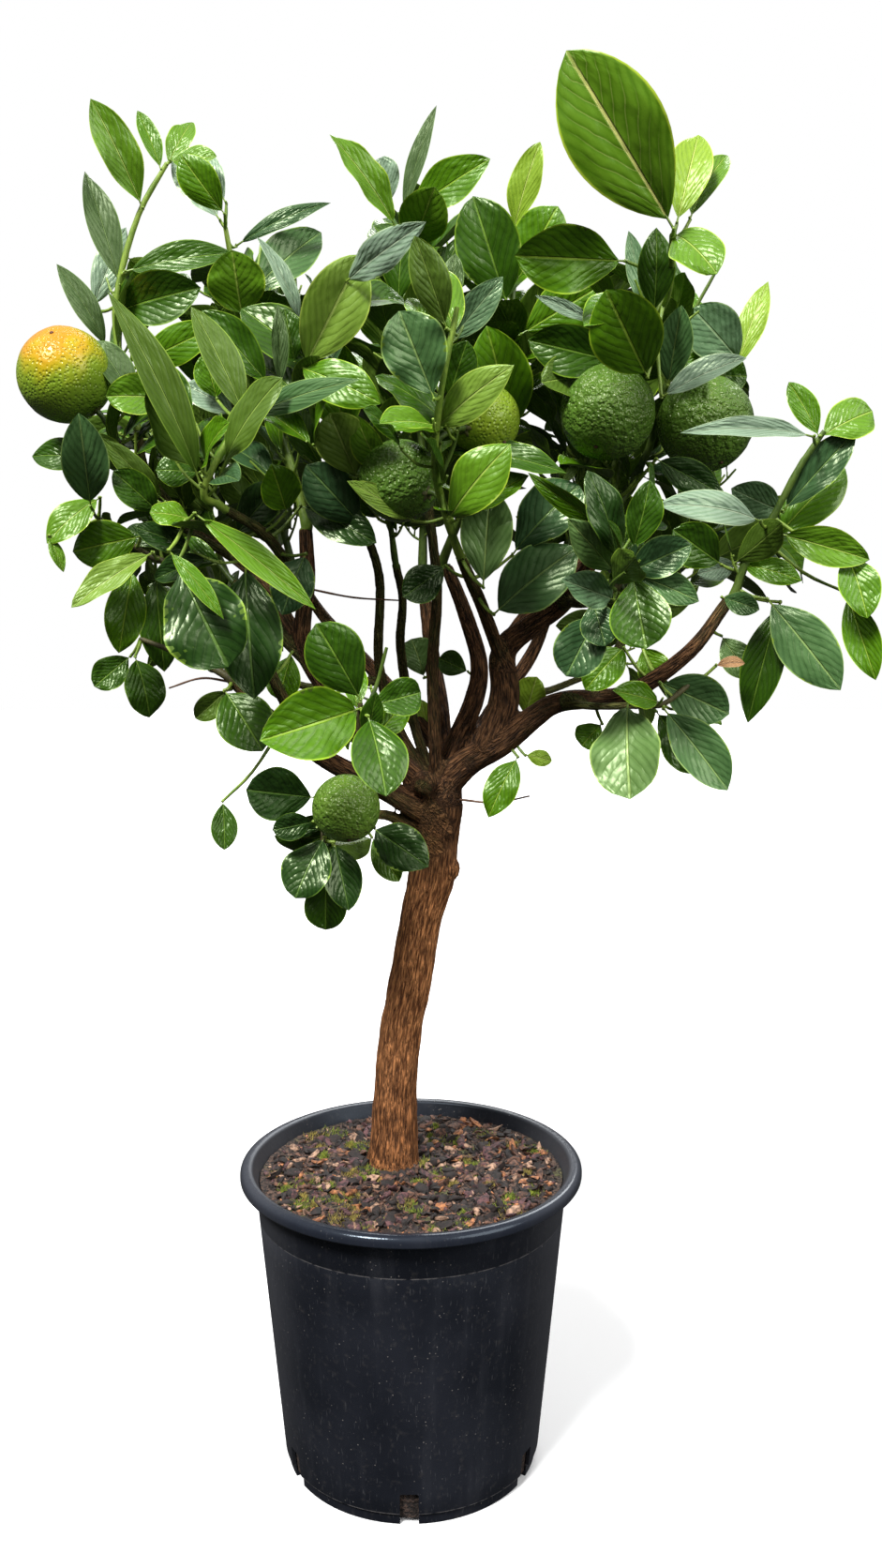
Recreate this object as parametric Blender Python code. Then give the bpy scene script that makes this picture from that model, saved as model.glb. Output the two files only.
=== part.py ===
"""A potted citrus tree, a metre tall, standing in a black nursery pot.

The frame is in metres with +Z up. The origin is the centre of the pot's flat underside and the
front of the tree looks towards -Y. Points and sizes below are millimetres, the unit a grower or
a pot maker would use, and the helper mm() turns them into metres.

The tree is built in the order it grew: pot and soil, the trunk, the boughs that fork from it,
and at each bough's tip one mass of foliage. A mass is a stem with twigs and leaves that follow
one rule with a seed of its own, so the same tree comes out of every run.
"""
import math
import random
from collections import namedtuple

import bmesh
import bpy
from mathutils import Matrix, Vector
from mathutils.bvhtree import BVHTree

MM = 0.001
GAP = 0.3                       # left between pieces that touch
UP = Vector((0, 0, 1))

# The pot: a tapered tub with a rolled rim, a band line and a foot with drain slots.
POT_HEIGHT = 225
POT_SEGMENTS = 40
RIM_RADIUS = 125                # outside of the rolled rim
RIM_INNER_RADIUS = 115.4
RIM_DEPTH = 8.5
NECK_RADIUS = 114.3             # outside of the wall, just under the rim
FOOT_RADIUS = 94.3
FOOT_HEIGHT = 9
FOOT_STEP = 1.6                 # how far the foot stands back under the wall
BAND_DROP = 35.5                # from the top of the rim to the band line
BAND_STEP = 0.5
WALL = 2.6
FLOOR = 4.0
SLOTS = 6
SLOT_WIDTH = 13
SLOT_HEIGHT = 25

# The soil: level round the trunk's foot, in low mounds elsewhere.
SOIL_TOP = 214
SOIL_MOUND = 3.5
SOIL_LEVEL_RADIUS = 32
SOIL_RINGS = 4

# The trunk: (point, radius) from the flat cut at soil level to the head that the boughs fork from.
TRUNK_SIDES = 10
TRUNK = (
    ((-14, 17, SOIL_TOP + GAP), 21.5),
    ((-13.5, 17, 226), 18.2),
    ((-12, 17, 273), 16.0),
    ((-8, 17, 316), 15.6),
    ((0, 16, 359), 15.5),
    ((7, 13, 402), 15.1),
    ((14, 11, 431), 16.8),
    ((17, 9, 458), 17.2),
    ((18, 8, 486), 19.0),
    ((19, 7, 508), 17.5),
)

# Each bough: the limb it leaves, how far along that limb, the points it passes, its first and
# last radius. It starts on the centre line of its parent and is cut clear of it.
BOUGH_SIDES = 6
BOUGHS = {
    "right_bough": ("trunk", 0.96, ((41, 0, 519), (65, -10, 534), (86, -15, 552), (105, -20, 563),
                                    (147, -40, 570), (185, -55, 598), (210, -60, 633)), 11.5, 4.0),
    "centre_right_bough": ("right_bough", 0.20, ((66, -10, 564), (65, -15, 597), (85, -22, 616),
                                                 (106, -32, 632), (125, -52, 664)), 12.0, 4.6),
    "centre_left_bough": ("trunk", 0.97, ((35, 22, 535), (46, 24, 562), (49, 26, 589),
                                          (38, 34, 626), (26, 40, 656)), 9.0, 4.5),
    "left_upright_bough": ("trunk", 0.95, ((-14, 2, 523), (-38, -7, 541), (-58, -14, 572),
                                           (-73, -18, 603), (-69, -20, 645), (-70, -18, 680)),
                           9.0, 4.8),
    "left_low_bough": ("trunk", 0.90, ((-20, -14, 503), (-55, -34, 524), (-85, -46, 548),
                                       (-116, -50, 578)), 9.5, 4.0),
    "back_centre_bough": ("trunk", 0.94, ((22, 42, 538), (15, 85, 590), (8, 112, 645)), 9.0, 4.6),
    "right_inner_bough": ("centre_right_bough", 0.42, ((80, 2, 618), (104, 6, 645), (128, 0, 668),
                                                       (139, -12, 690)), 7.0, 4.0),
    "green_leader_bough": ("centre_right_bough", 0.36, ((50, -40, 626), (41, -62, 645),
                                                        (34, -78, 660)), 5.0, 3.6),
    "centre_upright_bough": ("trunk", 0.98, ((17, -1, 545), (16, 0, 590), (19, 2, 640),
                                             (14, 10, 690), (9, 18, 735)), 5.0, 3.2),
    "thin_left_bough": ("trunk", 0.97, ((2, 22, 545), (-7, 18, 598), (-5, 4, 632), (-9, -14, 656)),
                        4.2, 3.0),
    "left_slender_bough": ("trunk", 0.96, ((-9, 12, 542), (-22, 6, 588), (-21, -8, 650),
                                           (-38, -48, 700)), 4.4, 3.0),
    "left_high_bough": ("left_upright_bough", 0.62, ((-104, 2, 646), (-150, 6, 682),
                                                     (-180, 2, 716), (-186, 0, 748)), 5.0, 3.2),
    "far_left_bough": ("left_high_bough", 0.45, ((-160, -18, 686), (-173, -30, 703)), 3.2, 2.6),
    "left_side_bough": ("left_upright_bough", 0.55, ((-104, -20, 622), (-138, -28, 640),
                                                     (-158, -30, 654)), 4.0, 3.0),
    "front_left_bough": ("left_low_bough", 0.62, ((-90, -72, 590), (-98, -88, 646)), 4.4, 3.2),
    "front_left_upper_bough": ("left_upright_bough", 0.80, ((-90, -60, 672), (-112, -100, 688)),
                               4.0, 3.2),
    "low_left_bough": ("trunk", 0.88, ((-14, -28, 498), (-27, -72, 522), (-29, -112, 540)),
                       4.8, 3.0),
    "lowest_left_bough": ("trunk", 0.83, ((-14, -12, 482), (-32, -46, 486)), 4.4, 3.2),
    "front_right_bough": ("centre_right_bough", 0.74, ((114, -68, 630), (121, -96, 632)),
                          3.6, 2.8),
    "low_right_bough": ("right_bough", 0.46, ((122, -46, 562), (150, -70, 564)), 3.0, 2.6),
    "back_left_bough": ("back_centre_bough", 0.22, ((-25, 78, 575), (-66, 106, 616),
                                                    (-88, 116, 646)), 6.2, 4.0),
    "back_right_bough": ("right_bough", 0.14, ((56, 45, 546), (90, 84, 590), (108, 102, 632)),
                         7.0, 4.2),
    "back_low_left_bough": ("back_left_bough", 0.42, ((-78, 94, 566), (-108, 108, 576)),
                            3.6, 2.8),
    "back_low_right_bough": ("back_right_bough", 0.45, ((100, 92, 562), (132, 112, 572)),
                             3.6, 2.8),
    "side_right_bough": ("right_bough", 0.55, ((150, 10, 604), (172, 44, 626)), 4.0, 3.0),
    "side_left_bough": ("left_upright_bough", 0.48, ((-96, 28, 622), (-130, 56, 646)), 4.0, 3.0),
}

# Each mass: the limb it grows from, the points its stem passes, how many twigs it has, the
# length of its leaves and how far from the stem they may reach.
Mass = namedtuple("Mass", "limb stem twigs leaf reach")
MASSES = {
    "top_left_spray": Mass("left_high_bough", ((-198, 0, 806), (-196, 0, 842), (-181, 0, 888),
                                               (-161, 0, 921)), 4, 74, 74),
    "left_fruit_spray": Mass("far_left_bough", ((-187, -30, 729), (-199, -27, 746)), 2, 60, 70),
    "left_low_spray": Mass("left_side_bough", ((-178, -30, 664), (-207, -30, 686)), 3, 56, 64),
    "left_under_spray": Mass("left_low_bough", ((-140, -44, 592), (-184, -18, 606)), 4, 58, 60),
    "big_dark_spray": Mass("front_left_bough", ((-112, -106, 670), (-132, -120, 680)), 3, 72, 78),
    "front_left_spray": Mass("front_left_upper_bough", ((-121, -120, 697), (-103, -121, 730),
                                                        (-80, -120, 760)), 4, 80, 90),
    "upper_left_spray": Mass("left_upright_bough", ((-86, -4, 740), (-112, 8, 815),
                                                    (-123, 0, 880)), 6, 76, 90),
    "upper_front_left_spray": Mass("left_slender_bough", ((-57, -90, 745), (-56, -103, 776),
                                                          (-36, -112, 816)), 6, 76, 84),
    "centre_inner_spray": Mass("thin_left_bough", ((-14, -34, 690), (-28, -44, 722)), 4, 62, 70),
    "top_centre_spray": Mass("centre_upright_bough", ((-1, 22, 812), (-5, 20, 886)), 7, 76, 84),
    "centre_front_spray": Mass("green_leader_bough", ((25, -98, 684), (18, -124, 712),
                                                      (22, -144, 752), (31, -150, 797)), 4, 66, 76),
    "upper_centre_spray": Mass("centre_left_bough", ((52, 4, 734), (68, -8, 815), (73, 8, 880)),
                               7, 74, 84),
    "crest_spray": Mass("centre_right_bough", ((136, -24, 700), (146, 4, 745), (152, -24, 792),
                                               (157, -110, 812), (150, -166, 832)), 4, 78, 80),
    "right_fruit_spray": Mass("right_inner_bough", ((163, -8, 734), (176, -20, 784),
                                                    (207, 2, 812)), 6, 72, 80),
    "right_shoot_spray": Mass("right_bough", ((221, -65, 664), (233, -70, 683), (248, -76, 715),
                                              (262, -80, 737)), 4, 72, 76),
    "right_middle_spray": Mass("front_right_bough", ((129, -114, 638), (137, -120, 662)),
                               4, 60, 68),
    "low_right_spray": Mass("low_right_bough", ((166, -78, 566), (182, -76, 578)), 2, 64, 66),
    "low_left_spray": Mass("low_left_bough", ((-28, -124, 552), (-27, -131, 570)), 1, 60, 66),
    "lowest_left_spray": Mass("lowest_left_bough", ((-53, -76, 486), (-56, -80, 466)), 2, 46, 60),
    "back_top_spray": Mass("back_centre_bough", ((8, 116, 720), (4, 100, 800), (6, 84, 870)),
                           7, 78, 92),
    "back_left_spray": Mass("back_left_bough", ((-104, 124, 700), (-112, 120, 770),
                                                (-108, 104, 826)), 6, 76, 92),
    "back_right_spray": Mass("back_right_bough", ((122, 108, 690), (132, 96, 765),
                                                  (128, 74, 832)), 6, 76, 92),
    "back_low_left_spray": Mass("back_low_left_bough", ((-136, 118, 592), (-160, 122, 622)),
                                4, 66, 76),
    "back_low_right_spray": Mass("back_low_right_bough", ((156, 122, 588), (178, 120, 616)),
                                 4, 66, 76),
    "side_right_spray": Mass("side_right_bough", ((200, 62, 668), (218, 58, 724)), 5, 72, 84),
    "side_left_spray": Mass("side_left_bough", ((-166, 76, 690), (-184, 70, 744)), 5, 72, 84),
}

# Fruit that shows: its mass, centre, radius and the way its blossom end looks.
Fruit = namedtuple("Fruit", "mass centre radius way")
FRUITS = (
    Fruit("left_fruit_spray", (-226, -30, 779), 31.0, (-0.1, -0.6, 0.8)),
    Fruit("right_fruit_spray", (129, -55, 752), 30.5, (-0.3, -0.5, -0.8)),
    Fruit("right_fruit_spray", (194, -45, 746), 31.0, (0.3, -0.4, -0.9)),
    Fruit("centre_front_spray", (-4, -84, 706), 25.5, (-0.4, -0.5, -0.7)),
    Fruit("centre_front_spray", (48, -92, 742), 22.5, (0.5, -0.4, -0.6)),
    Fruit("lowest_left_spray", (-38, -106, 502), 21.5, (0.1, -0.4, -0.9)),
)

# Leaves that give the crown its outline: foot, tip and width. The rule grows all the others.
OUTLINE_LEAVES = {
    "top_left_spray": (
        ((-179, 0, 890), (-206, -20, 955), 23), ((-166, 0, 915), (-181, 10, 958), 12),
        ((-161, 0, 920), (-126, -10, 930), 20), ((-196, 0, 845), (-220, 10, 920), 20),
        ((-198, 0, 812), (-233, -10, 856), 18), ((-190, -2, 856), (-115, -30, 862), 24),
        ((-194, 4, 826), (-137, -30, 838), 34)),
    "left_fruit_spray": (
        ((-203, -50, 694), (-205, -80, 750), 28), ((-200, -12, 728), (-258, 0, 731), 26),
        ((-190, -38, 738), (-160, -60, 700), 16)),
    "left_low_spray": (
        ((-212, -34, 690), (-228, -50, 656), 24), ((-180, -34, 662), (-224, -44, 664), 30),
        ((-172, -46, 660), (-217, -70, 627), 18), ((-184, -38, 652), (-191, -50, 596), 26)),
    "left_under_spray": (
        ((-190, -12, 600), (-216, -20, 571), 24), ((-186, -20, 598), (-178, -22, 548), 27),
        ((-142, -50, 588), (-156, -56, 552), 22)),
    "big_dark_spray": (
        ((-136, -122, 664), (-104, -142, 592), 49), ((-101, -96, 656), (-94, -112, 571), 39),
        ((-124, -130, 682), (-53, -134, 626), 16), ((-132, -116, 678), (-158, -124, 690), 26)),
    "front_left_spray": (
        ((-120, -128, 701), (-166, -160, 804), 22), ((-96, -124, 742), (-126, -124, 804), 24),
        ((-100, -130, 733), (-24, -168, 754), 21)),
    "upper_left_spray": (
        ((-124, -6, 880), (-149, -22, 921), 22), ((-108, -20, 814), (-110, -52, 852), 36),
        ((-120, 8, 872), (-52, 28, 904), 15), ((-108, 16, 832), (-62, 38, 884), 33)),
    "upper_front_left_spray": (
        ((-60, -104, 772), (-22, -124, 831), 32),),
    "top_centre_spray": (
        ((-6, 18, 884), (-53, 0, 939), 22), ((-4, 20, 886), (19, 20, 965), 14),
        ((-2, 16, 884), (55, 0, 923), 26), ((-3, 12, 868), (17, -28, 897), 30)),
    "centre_front_spray": (
        ((20, -148, 750), (-4, -178, 793), 36), ((27, -150, 782), (7, -170, 830), 21),
        ((22, -132, 726), (63, -150, 765), 22), ((26, -108, 686), (59, -148, 720), 28),
        ((34, -92, 674), (54, -112, 712), 30)),
    "upper_centre_spray": (
        ((68, -12, 822), (42, -30, 892), 36), ((73, 8, 876), (88, 0, 934), 20),
        ((72, 2, 846), (101, -10, 892), 33), ((58, -12, 744), (46, -58, 806), 36)),
    "crest_spray": (
        ((142, -134, 822), (64, -150, 825), 35), ((144, -112, 766), (117, -142, 812), 38),
        ((150, -168, 834), (87, -190, 921), 64), ((151, -162, 838), (168, -138, 893), 23),
        ((153, -160, 836), (187, -128, 886), 20), ((153, -166, 830), (172, -190, 804), 25),
        ((146, -134, 802), (144, -142, 846), 19)),
    "right_fruit_spray": (
        ((172, -34, 772), (167, -66, 815), 26), ((178, -30, 786), (216, -60, 800), 24),
        ((207, 4, 812), (248, 28, 853), 20)),
    "right_shoot_spray": (
        ((234, -72, 676), (276, -94, 578), 34), ((228, -64, 664), (224, -58, 554), 27),
        ((250, -66, 690), (303, -64, 590), 24), ((240, -68, 686), (293, -88, 626), 28),
        ((241, -70, 690), (291, -92, 656), 24), ((262, -82, 737), (262, -104, 776), 40),
        ((249, -70, 704), (282, -78, 742), 23), ((246, -64, 696), (287, -52, 718), 30),
        ((250, -84, 728), (162, -150, 724), 17)),
    "right_middle_spray": (
        ((130, -118, 648), (95, -148, 679), 21), ((137, -120, 658), (171, -132, 668), 30),
        ((130, -122, 642), (155, -150, 607), 34), ((124, -112, 632), (102, -124, 585), 35),
        ((126, -112, 648), (52, -92, 630), 40)),
    "low_right_spray": (
        ((148, -78, 567), (139, -112, 509), 42), ((168, -82, 566), (203, -100, 513), 29),
        ((172, -74, 577), (212, -82, 558), 24), ((168, -66, 564), (194, -50, 517), 25)),
    "low_left_spray": (
        ((-29, -130, 566), (-84, -168, 551), 41), ((-28, -132, 571), (-51, -148, 618), 34),
        ((-25, -130, 570), (12, -124, 580), 24), ((-26, -134, 562), (-8, -168, 518), 34)),
    "lowest_left_spray": (
        ((-56, -80, 488), (-102, -98, 513), 33), ((-58, -80, 474), (-76, -96, 438), 32),
        ((-54, -82, 466), (-38, -90, 428), 27), ((-40, -66, 482), (12, -82, 459), 28)),
}

# The rule for twigs and leaves.
GOLDEN_ANGLE = math.radians(137.5)
CROWN_CENTRE = (15, 20, 660)
OUTLINE_LIGHT = (0, -1.6, 0.2)  # added to the way outwards, for the leaves of the table
STEM_TIP_RADIUS = 3.2
TWIG_RADIUS = 2.0
TWIG_TIP_RADIUS = 1.8
TWIG_SIDES = 3
LEAVES_A_TWIG = 3
TRIES = 12
LEAF_ROOT = 0.8                 # how far a leaf's foot runs past the middle of its twig
LEAF_RIB = 0.022                # thickness at the midrib for each unit of length
LEAF_FOLD = math.radians(11)
CLEARANCE = 1.0                 # kept from anything that a twig or leaf doesn't grow on

Leaf = namedtuple("Leaf", "foot way up side length width droop")
Solid = namedtuple("Solid", "mass kind centre reach tree")


def mm(point):
    """A point in millimetres as a vector in metres."""
    return Vector(point) * MM


# ---------------------------------------------------------------- paths and tubes

def smooth_path(points, per_span):
    """Points along a Catmull-Rom curve that passes through the given ones."""
    ends = [2 * points[0] - points[1]] + list(points) + [2 * points[-1] - points[-2]]
    path = []
    for a, b, c, d in zip(ends, ends[1:], ends[2:], ends[3:]):
        for step in range(per_span):
            t = step / per_span
            path.append(0.5 * (2 * b + (c - a) * t + (2 * a - 5 * b + 4 * c - d) * t ** 2
                               + (3 * b - a - 3 * c + d) * t ** 3))
    path.append(points[-1].copy())
    return path


def place_on(path, fraction):
    """The point at a fraction of a path's length, and the path's direction there."""
    lengths = [(b - a).length for a, b in zip(path, path[1:])]
    left = fraction * sum(lengths)
    for a, b, length in zip(path, path[1:], lengths):
        if left <= length:
            break
        left -= length
    return a.lerp(b, min(left / length, 1.0)), (b - a).normalized()


def nearest_on(path, point):
    """The nearest point of a path, and its distance."""
    best, reach = path[0], (path[0] - point).length
    for a, b in zip(path, path[1:]):
        run = b - a
        t = min(max((point - a).dot(run) / run.length_squared, 0.0), 1.0)
        spot = a + run * t
        if (spot - point).length < reach:
            best, reach = spot, (spot - point).length
    return best, reach


def tapered(count, first, last):
    """Radii in metres from first to last, in millimetres, over a number of rings."""
    return [(first + (last - first) * i / (count - 1)) * MM for i in range(count)]


def tube(path, radii, sides, extra=0.0):
    """A closed tube of rings round a path, as vertices and faces."""
    verts, faces = [], []
    across = None
    for i, point in enumerate(path):
        ahead = (path[min(i + 1, len(path) - 1)] - path[max(i - 1, 0)]).normalized()
        if across is None:
            across = ahead.orthogonal()
        across = (across - ahead * across.dot(ahead)).normalized()
        other = ahead.cross(across)
        for j in range(sides):
            turn = math.tau * j / sides
            out = across * math.cos(turn) + other * math.sin(turn)
            verts.append(point + out * (radii[i] + extra))
    for i in range(len(path) - 1):
        for j in range(sides):
            a, b = i * sides + j, i * sides + (j + 1) % sides
            faces.append((a, b, b + sides, a + sides))
    faces.append(tuple(reversed(range(sides))))
    faces.append(tuple(range(len(verts) - sides, len(verts))))
    return verts, faces


# ---------------------------------------------------------------- objects and Booleans

def material(name, colour, roughness):
    """A plain Principled material."""
    finish = bpy.data.materials.new(name)
    finish.use_nodes = True
    shader = finish.node_tree.nodes["Principled BSDF"]
    shader.inputs["Base Color"].default_value = (*colour, 1.0)
    shader.inputs["Roughness"].default_value = roughness
    shader.inputs["Metallic"].default_value = 0.0
    return finish


def add_object(name, verts, faces, finish=None, collection=None):
    """A mesh object linked to the scene or to a collection of its own."""
    mesh = bpy.data.meshes.new(name)
    mesh.from_pydata([tuple(v) for v in verts], [], faces)
    if finish:
        mesh.materials.append(finish)
    thing = bpy.data.objects.new(name, mesh)
    (collection or bpy.context.scene.collection).objects.link(thing)
    return thing


def largest_part(mesh):
    """Deletes every loose part of a mesh but the one of the largest volume."""
    work = bmesh.new()
    work.from_mesh(mesh)
    waiting, parts = set(work.verts), []
    while waiting:
        part, edge = set(), [waiting.pop()]
        while edge:
            vert = edge.pop()
            part.add(vert)
            for link in vert.link_edges:
                other = link.other_vert(vert)
                if other in waiting:
                    waiting.remove(other)
                    edge.append(other)
        parts.append(part)

    def volume(part):
        faces = {face for vert in part for face in vert.link_faces}
        return sum(face.normal.dot(face.calc_center_median()) * face.calc_area() for face in faces)

    parts.sort(key=volume)
    for part in parts[:-1]:
        bmesh.ops.delete(work, geom=list(part), context="VERTS")
    work.to_mesh(mesh)
    work.free()


def apply_boolean(thing, operation, collection):
    """One Boolean with a collection, applied; the collection's objects are then removed."""
    cut = thing.modifiers.new(operation.title(), "BOOLEAN")
    cut.operation = operation
    cut.operand_type = "COLLECTION"
    cut.collection = collection
    cut.solver = "EXACT"
    graph = bpy.context.evaluated_depsgraph_get()
    result = bpy.data.meshes.new_from_object(thing.evaluated_get(graph))
    thing.modifiers.clear()
    thing.data = result
    for other in list(collection.objects):
        bpy.data.objects.remove(other)
    bpy.data.collections.remove(collection)
    largest_part(result)


def new_collection(name):
    collection = bpy.data.collections.new(name)
    bpy.context.scene.collection.children.link(collection)
    return collection


# ---------------------------------------------------------------- pot and soil

def wall_radius(height):
    """The outside radius of the pot's wall at a height, both in millimetres."""
    top = POT_HEIGHT - RIM_DEPTH
    return FOOT_RADIUS + (NECK_RADIUS - FOOT_RADIUS) * height / top


def pot_profile():
    """The pot's section from the centre of its underside round to the centre of its floor."""
    top, band = POT_HEIGHT, POT_HEIGHT - BAND_DROP
    foot = wall_radius(0) - FOOT_STEP
    return (
        (0, 0), (foot - 1, 0), (foot, 1), (foot + 0.4, FOOT_HEIGHT - 1),
        (wall_radius(FOOT_HEIGHT), FOOT_HEIGHT),
        (wall_radius(band) - BAND_STEP, band - 1), (wall_radius(band), band),
        (NECK_RADIUS, top - RIM_DEPTH), (RIM_RADIUS - 1.2, top - RIM_DEPTH),
        (RIM_RADIUS, top - RIM_DEPTH + 2), (RIM_RADIUS, top - 4), (RIM_RADIUS - 2, top - 1),
        (RIM_RADIUS - 4.5, top), (RIM_INNER_RADIUS + 1, top - 0.6),
        (RIM_INNER_RADIUS, top - 3), (NECK_RADIUS - WALL, top - RIM_DEPTH - 1),
        (wall_radius(FLOOR) - WALL, FLOOR), (0, FLOOR),
    )


def turned(profile, segments):
    """A solid of revolution from a profile that starts and ends on the axis."""
    verts, faces = [mm((0, 0, profile[0][1]))], []
    for radius, height in profile[1:-1]:
        for j in range(segments):
            turn = math.tau * (j + 0.5) / segments
            verts.append(mm((radius * math.cos(turn), radius * math.sin(turn), height)))
    verts.append(mm((0, 0, profile[-1][1])))
    last = len(verts) - 1
    for j in range(segments):
        k = (j + 1) % segments
        faces.append((0, 1 + k, 1 + j))
        faces.append((last, last - segments + j, last - segments + k))
        for ring in range(len(profile) - 3):
            a, b = 1 + ring * segments + j, 1 + ring * segments + k
            faces.append((a, b, b + segments, a + segments))
    return verts, faces


def slot_cutter(index, collection):
    """A square cutter for one drain slot, through the foot and the edge of the floor."""
    half = SLOT_WIDTH / 2
    outline = [(-half, -1), (half, -1), (half, SLOT_HEIGHT), (-half, SLOT_HEIGHT)]
    near, far = FOOT_RADIUS - 9, FOOT_RADIUS + 9
    count = len(outline)
    verts = [mm((x, -reach, z)) for reach in (near, far) for x, z in outline]
    faces = [tuple(range(count)), tuple(reversed(range(count, 2 * count)))]
    for j in range(count):
        k = (j + 1) % count
        faces.append((j, j + count, k + count, k))
    turn = Matrix.Rotation(math.tau * index / SLOTS, 3, "Z")
    flipped = [tuple(reversed(face)) for face in faces]
    return add_object(f"slot_{index}", [turn @ v for v in verts], flipped, None, collection)


def make_pot():
    finish = material("black_plastic", (0.022, 0.024, 0.028), 0.42)
    verts, faces = turned(pot_profile(), POT_SEGMENTS)
    pot = add_object("pot", verts, faces, finish)
    slots = new_collection("slots")
    for index in range(SLOTS):
        slot_cutter(index, slots)
    apply_boolean(pot, "DIFFERENCE", slots)


def make_soil():
    """Fills the pot to just under its rim; the top is level at the trunk and uneven beyond."""
    rng = random.Random(5)
    foot_x, foot_y, _ = TRUNK[0][0]
    edge = wall_radius(SOIL_TOP) - WALL - GAP - 0.4
    base = wall_radius(FLOOR) - WALL - GAP - 0.4
    profile = [(0, FLOOR + GAP), (base, FLOOR + GAP)]
    profile += [(edge * (SOIL_RINGS - i) / SOIL_RINGS, SOIL_TOP) for i in range(SOIL_RINGS)]
    profile.append((0, SOIL_TOP))
    verts, faces = turned(profile, POT_SEGMENTS)
    top = SOIL_TOP * MM - 1e-6
    for vert in verts:
        far = math.hypot(vert.x / MM - foot_x, vert.y / MM - foot_y) - SOIL_LEVEL_RADIUS
        if vert.z > top and far > 0:
            mound = rng.uniform(-1.0, 0.6) * SOIL_MOUND * min(far / 20, 1.0)
            vert.z += mound * MM
    add_object("soil", verts, faces, material("soil", (0.10, 0.065, 0.042), 0.95))


# ---------------------------------------------------------------- limbs

def trunk_path():
    """The trunk's rings: its path and radii, through the points of the table."""
    path = smooth_path([mm(point) for point, _ in TRUNK], 2)
    path[1].xy = path[0].xy     # so that the cut at the foot is level
    radii = []
    for (_, here), (_, above) in zip(TRUNK, TRUNK[1:]):
        radii += [here * MM, (here + above) / 2 * MM]
    radii.append(TRUNK[-1][1] * MM)
    return path, radii


def limb_paths():
    """The path and radii of the trunk and of every bough, parents before their branches."""
    limbs = {"trunk": trunk_path()}
    for name, (parent, along, points, first, last) in BOUGHS.items():
        start, _ = place_on(limbs[parent][0], along)
        path = smooth_path([start] + [mm(point) for point in points], 1)
        limbs[name] = path, tapered(len(path), first, last)
    return limbs


def limb_sides(name):
    return TRUNK_SIDES if name == "trunk" else BOUGH_SIDES


def make_limbs(limbs):
    """Makes each limb and cuts it clear of the thicker limbs that it meets."""
    bark = material("bark", (0.20, 0.105, 0.055), 0.85)
    sleeves = {}
    for name, (path, radii) in limbs.items():
        sides = limb_sides(name)
        verts, faces = tube(path, radii, sides)
        limb = add_object(name, verts, faces, bark)
        own = BVHTree.FromPolygons(verts, faces)
        met = new_collection(name + "_sleeves")
        for other, (others_verts, others_faces, tree) in sleeves.items():
            if own.overlap(tree):
                add_object(other + "_sleeve", others_verts, others_faces, None, met)
        if met.objects:
            apply_boolean(limb, "DIFFERENCE", met)
        else:
            bpy.data.collections.remove(met)
        wide = tube(path, radii, sides, GAP * MM)
        sleeves[name] = (*wide, BVHTree.FromPolygons(*wide))


# ---------------------------------------------------------------- leaves

def blade_width(along):
    """A leaf's half width as a share of its widest, from foot (0) to tip (1)."""
    return math.sin(math.pi * min(max(along, 0.0), 1.0) ** 0.9) ** 0.8


def make_leaf(foot, way, light, length, width, roll=0.0, droop=0.35):
    """A leaf's frame: it turns its upper face to the light, then rolls about its midrib."""
    way = way.normalized()
    side = way.cross(light)
    if side.length < 0.05:
        side = way.orthogonal()
    side = Matrix.Rotation(roll, 3, way) @ side.normalized()
    return Leaf(foot, way, side.cross(way), side, length, width, droop)


def leaf_point(leaf, along, across, lift):
    """A point of a leaf: along its midrib, across to an edge (-1 or 1), and lifted off it."""
    bend = leaf.droop * (along - 0.5)
    turn = math.sin(bend) / leaf.droop
    chord = math.sin(leaf.droop / 2) / leaf.droop
    sag = (math.cos(bend) - math.cos(leaf.droop / 2)) / leaf.droop
    up = leaf.up * math.cos(bend) + leaf.way * math.sin(bend)
    half = leaf.width / 2 * blade_width(along) * across
    middle = leaf.foot + (leaf.way * (chord + turn) + leaf.up * sag) * leaf.length
    return middle + leaf.side * half * math.cos(LEAF_FOLD) + up * (abs(half) * math.sin(LEAF_FOLD) + lift)


def leaf_solid(leaf, root=True, rib=1.0):
    """A leaf of twelve faces: a point at its foot, two three-cornered sections and its tip."""
    thick = leaf.length * LEAF_RIB * rib
    verts = [leaf.foot - leaf.way * LEAF_ROOT * MM if root else leaf_point(leaf, 0.14, 0, 0.0)]
    for along in (0.32, 0.70):
        verts += [leaf_point(leaf, along, side, 0.0) for side in (-1, 1)]
        verts.append(leaf_point(leaf, along, 0, -thick))
    verts.append(leaf_point(leaf, 1.0, 0, 0.0))
    faces = []
    for a, b in ((1, 2), (2, 3), (3, 1)):
        faces += [(0, b, a), (a, b, b + 3), (a, b + 3, a + 3), (a + 3, b + 3, 7)]
    return verts, faces


# ---------------------------------------------------------------- the growing rule

def ball(centre, radius, rounds):
    """A round solid of triangles, as vertices and faces."""
    work = bmesh.new()
    bmesh.ops.create_icosphere(work, subdivisions=rounds, radius=radius)
    verts = [vert.co + centre for vert in work.verts]
    faces = [tuple(vert.index for vert in face.verts) for face in work.faces]
    work.free()
    return verts, faces


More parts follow.
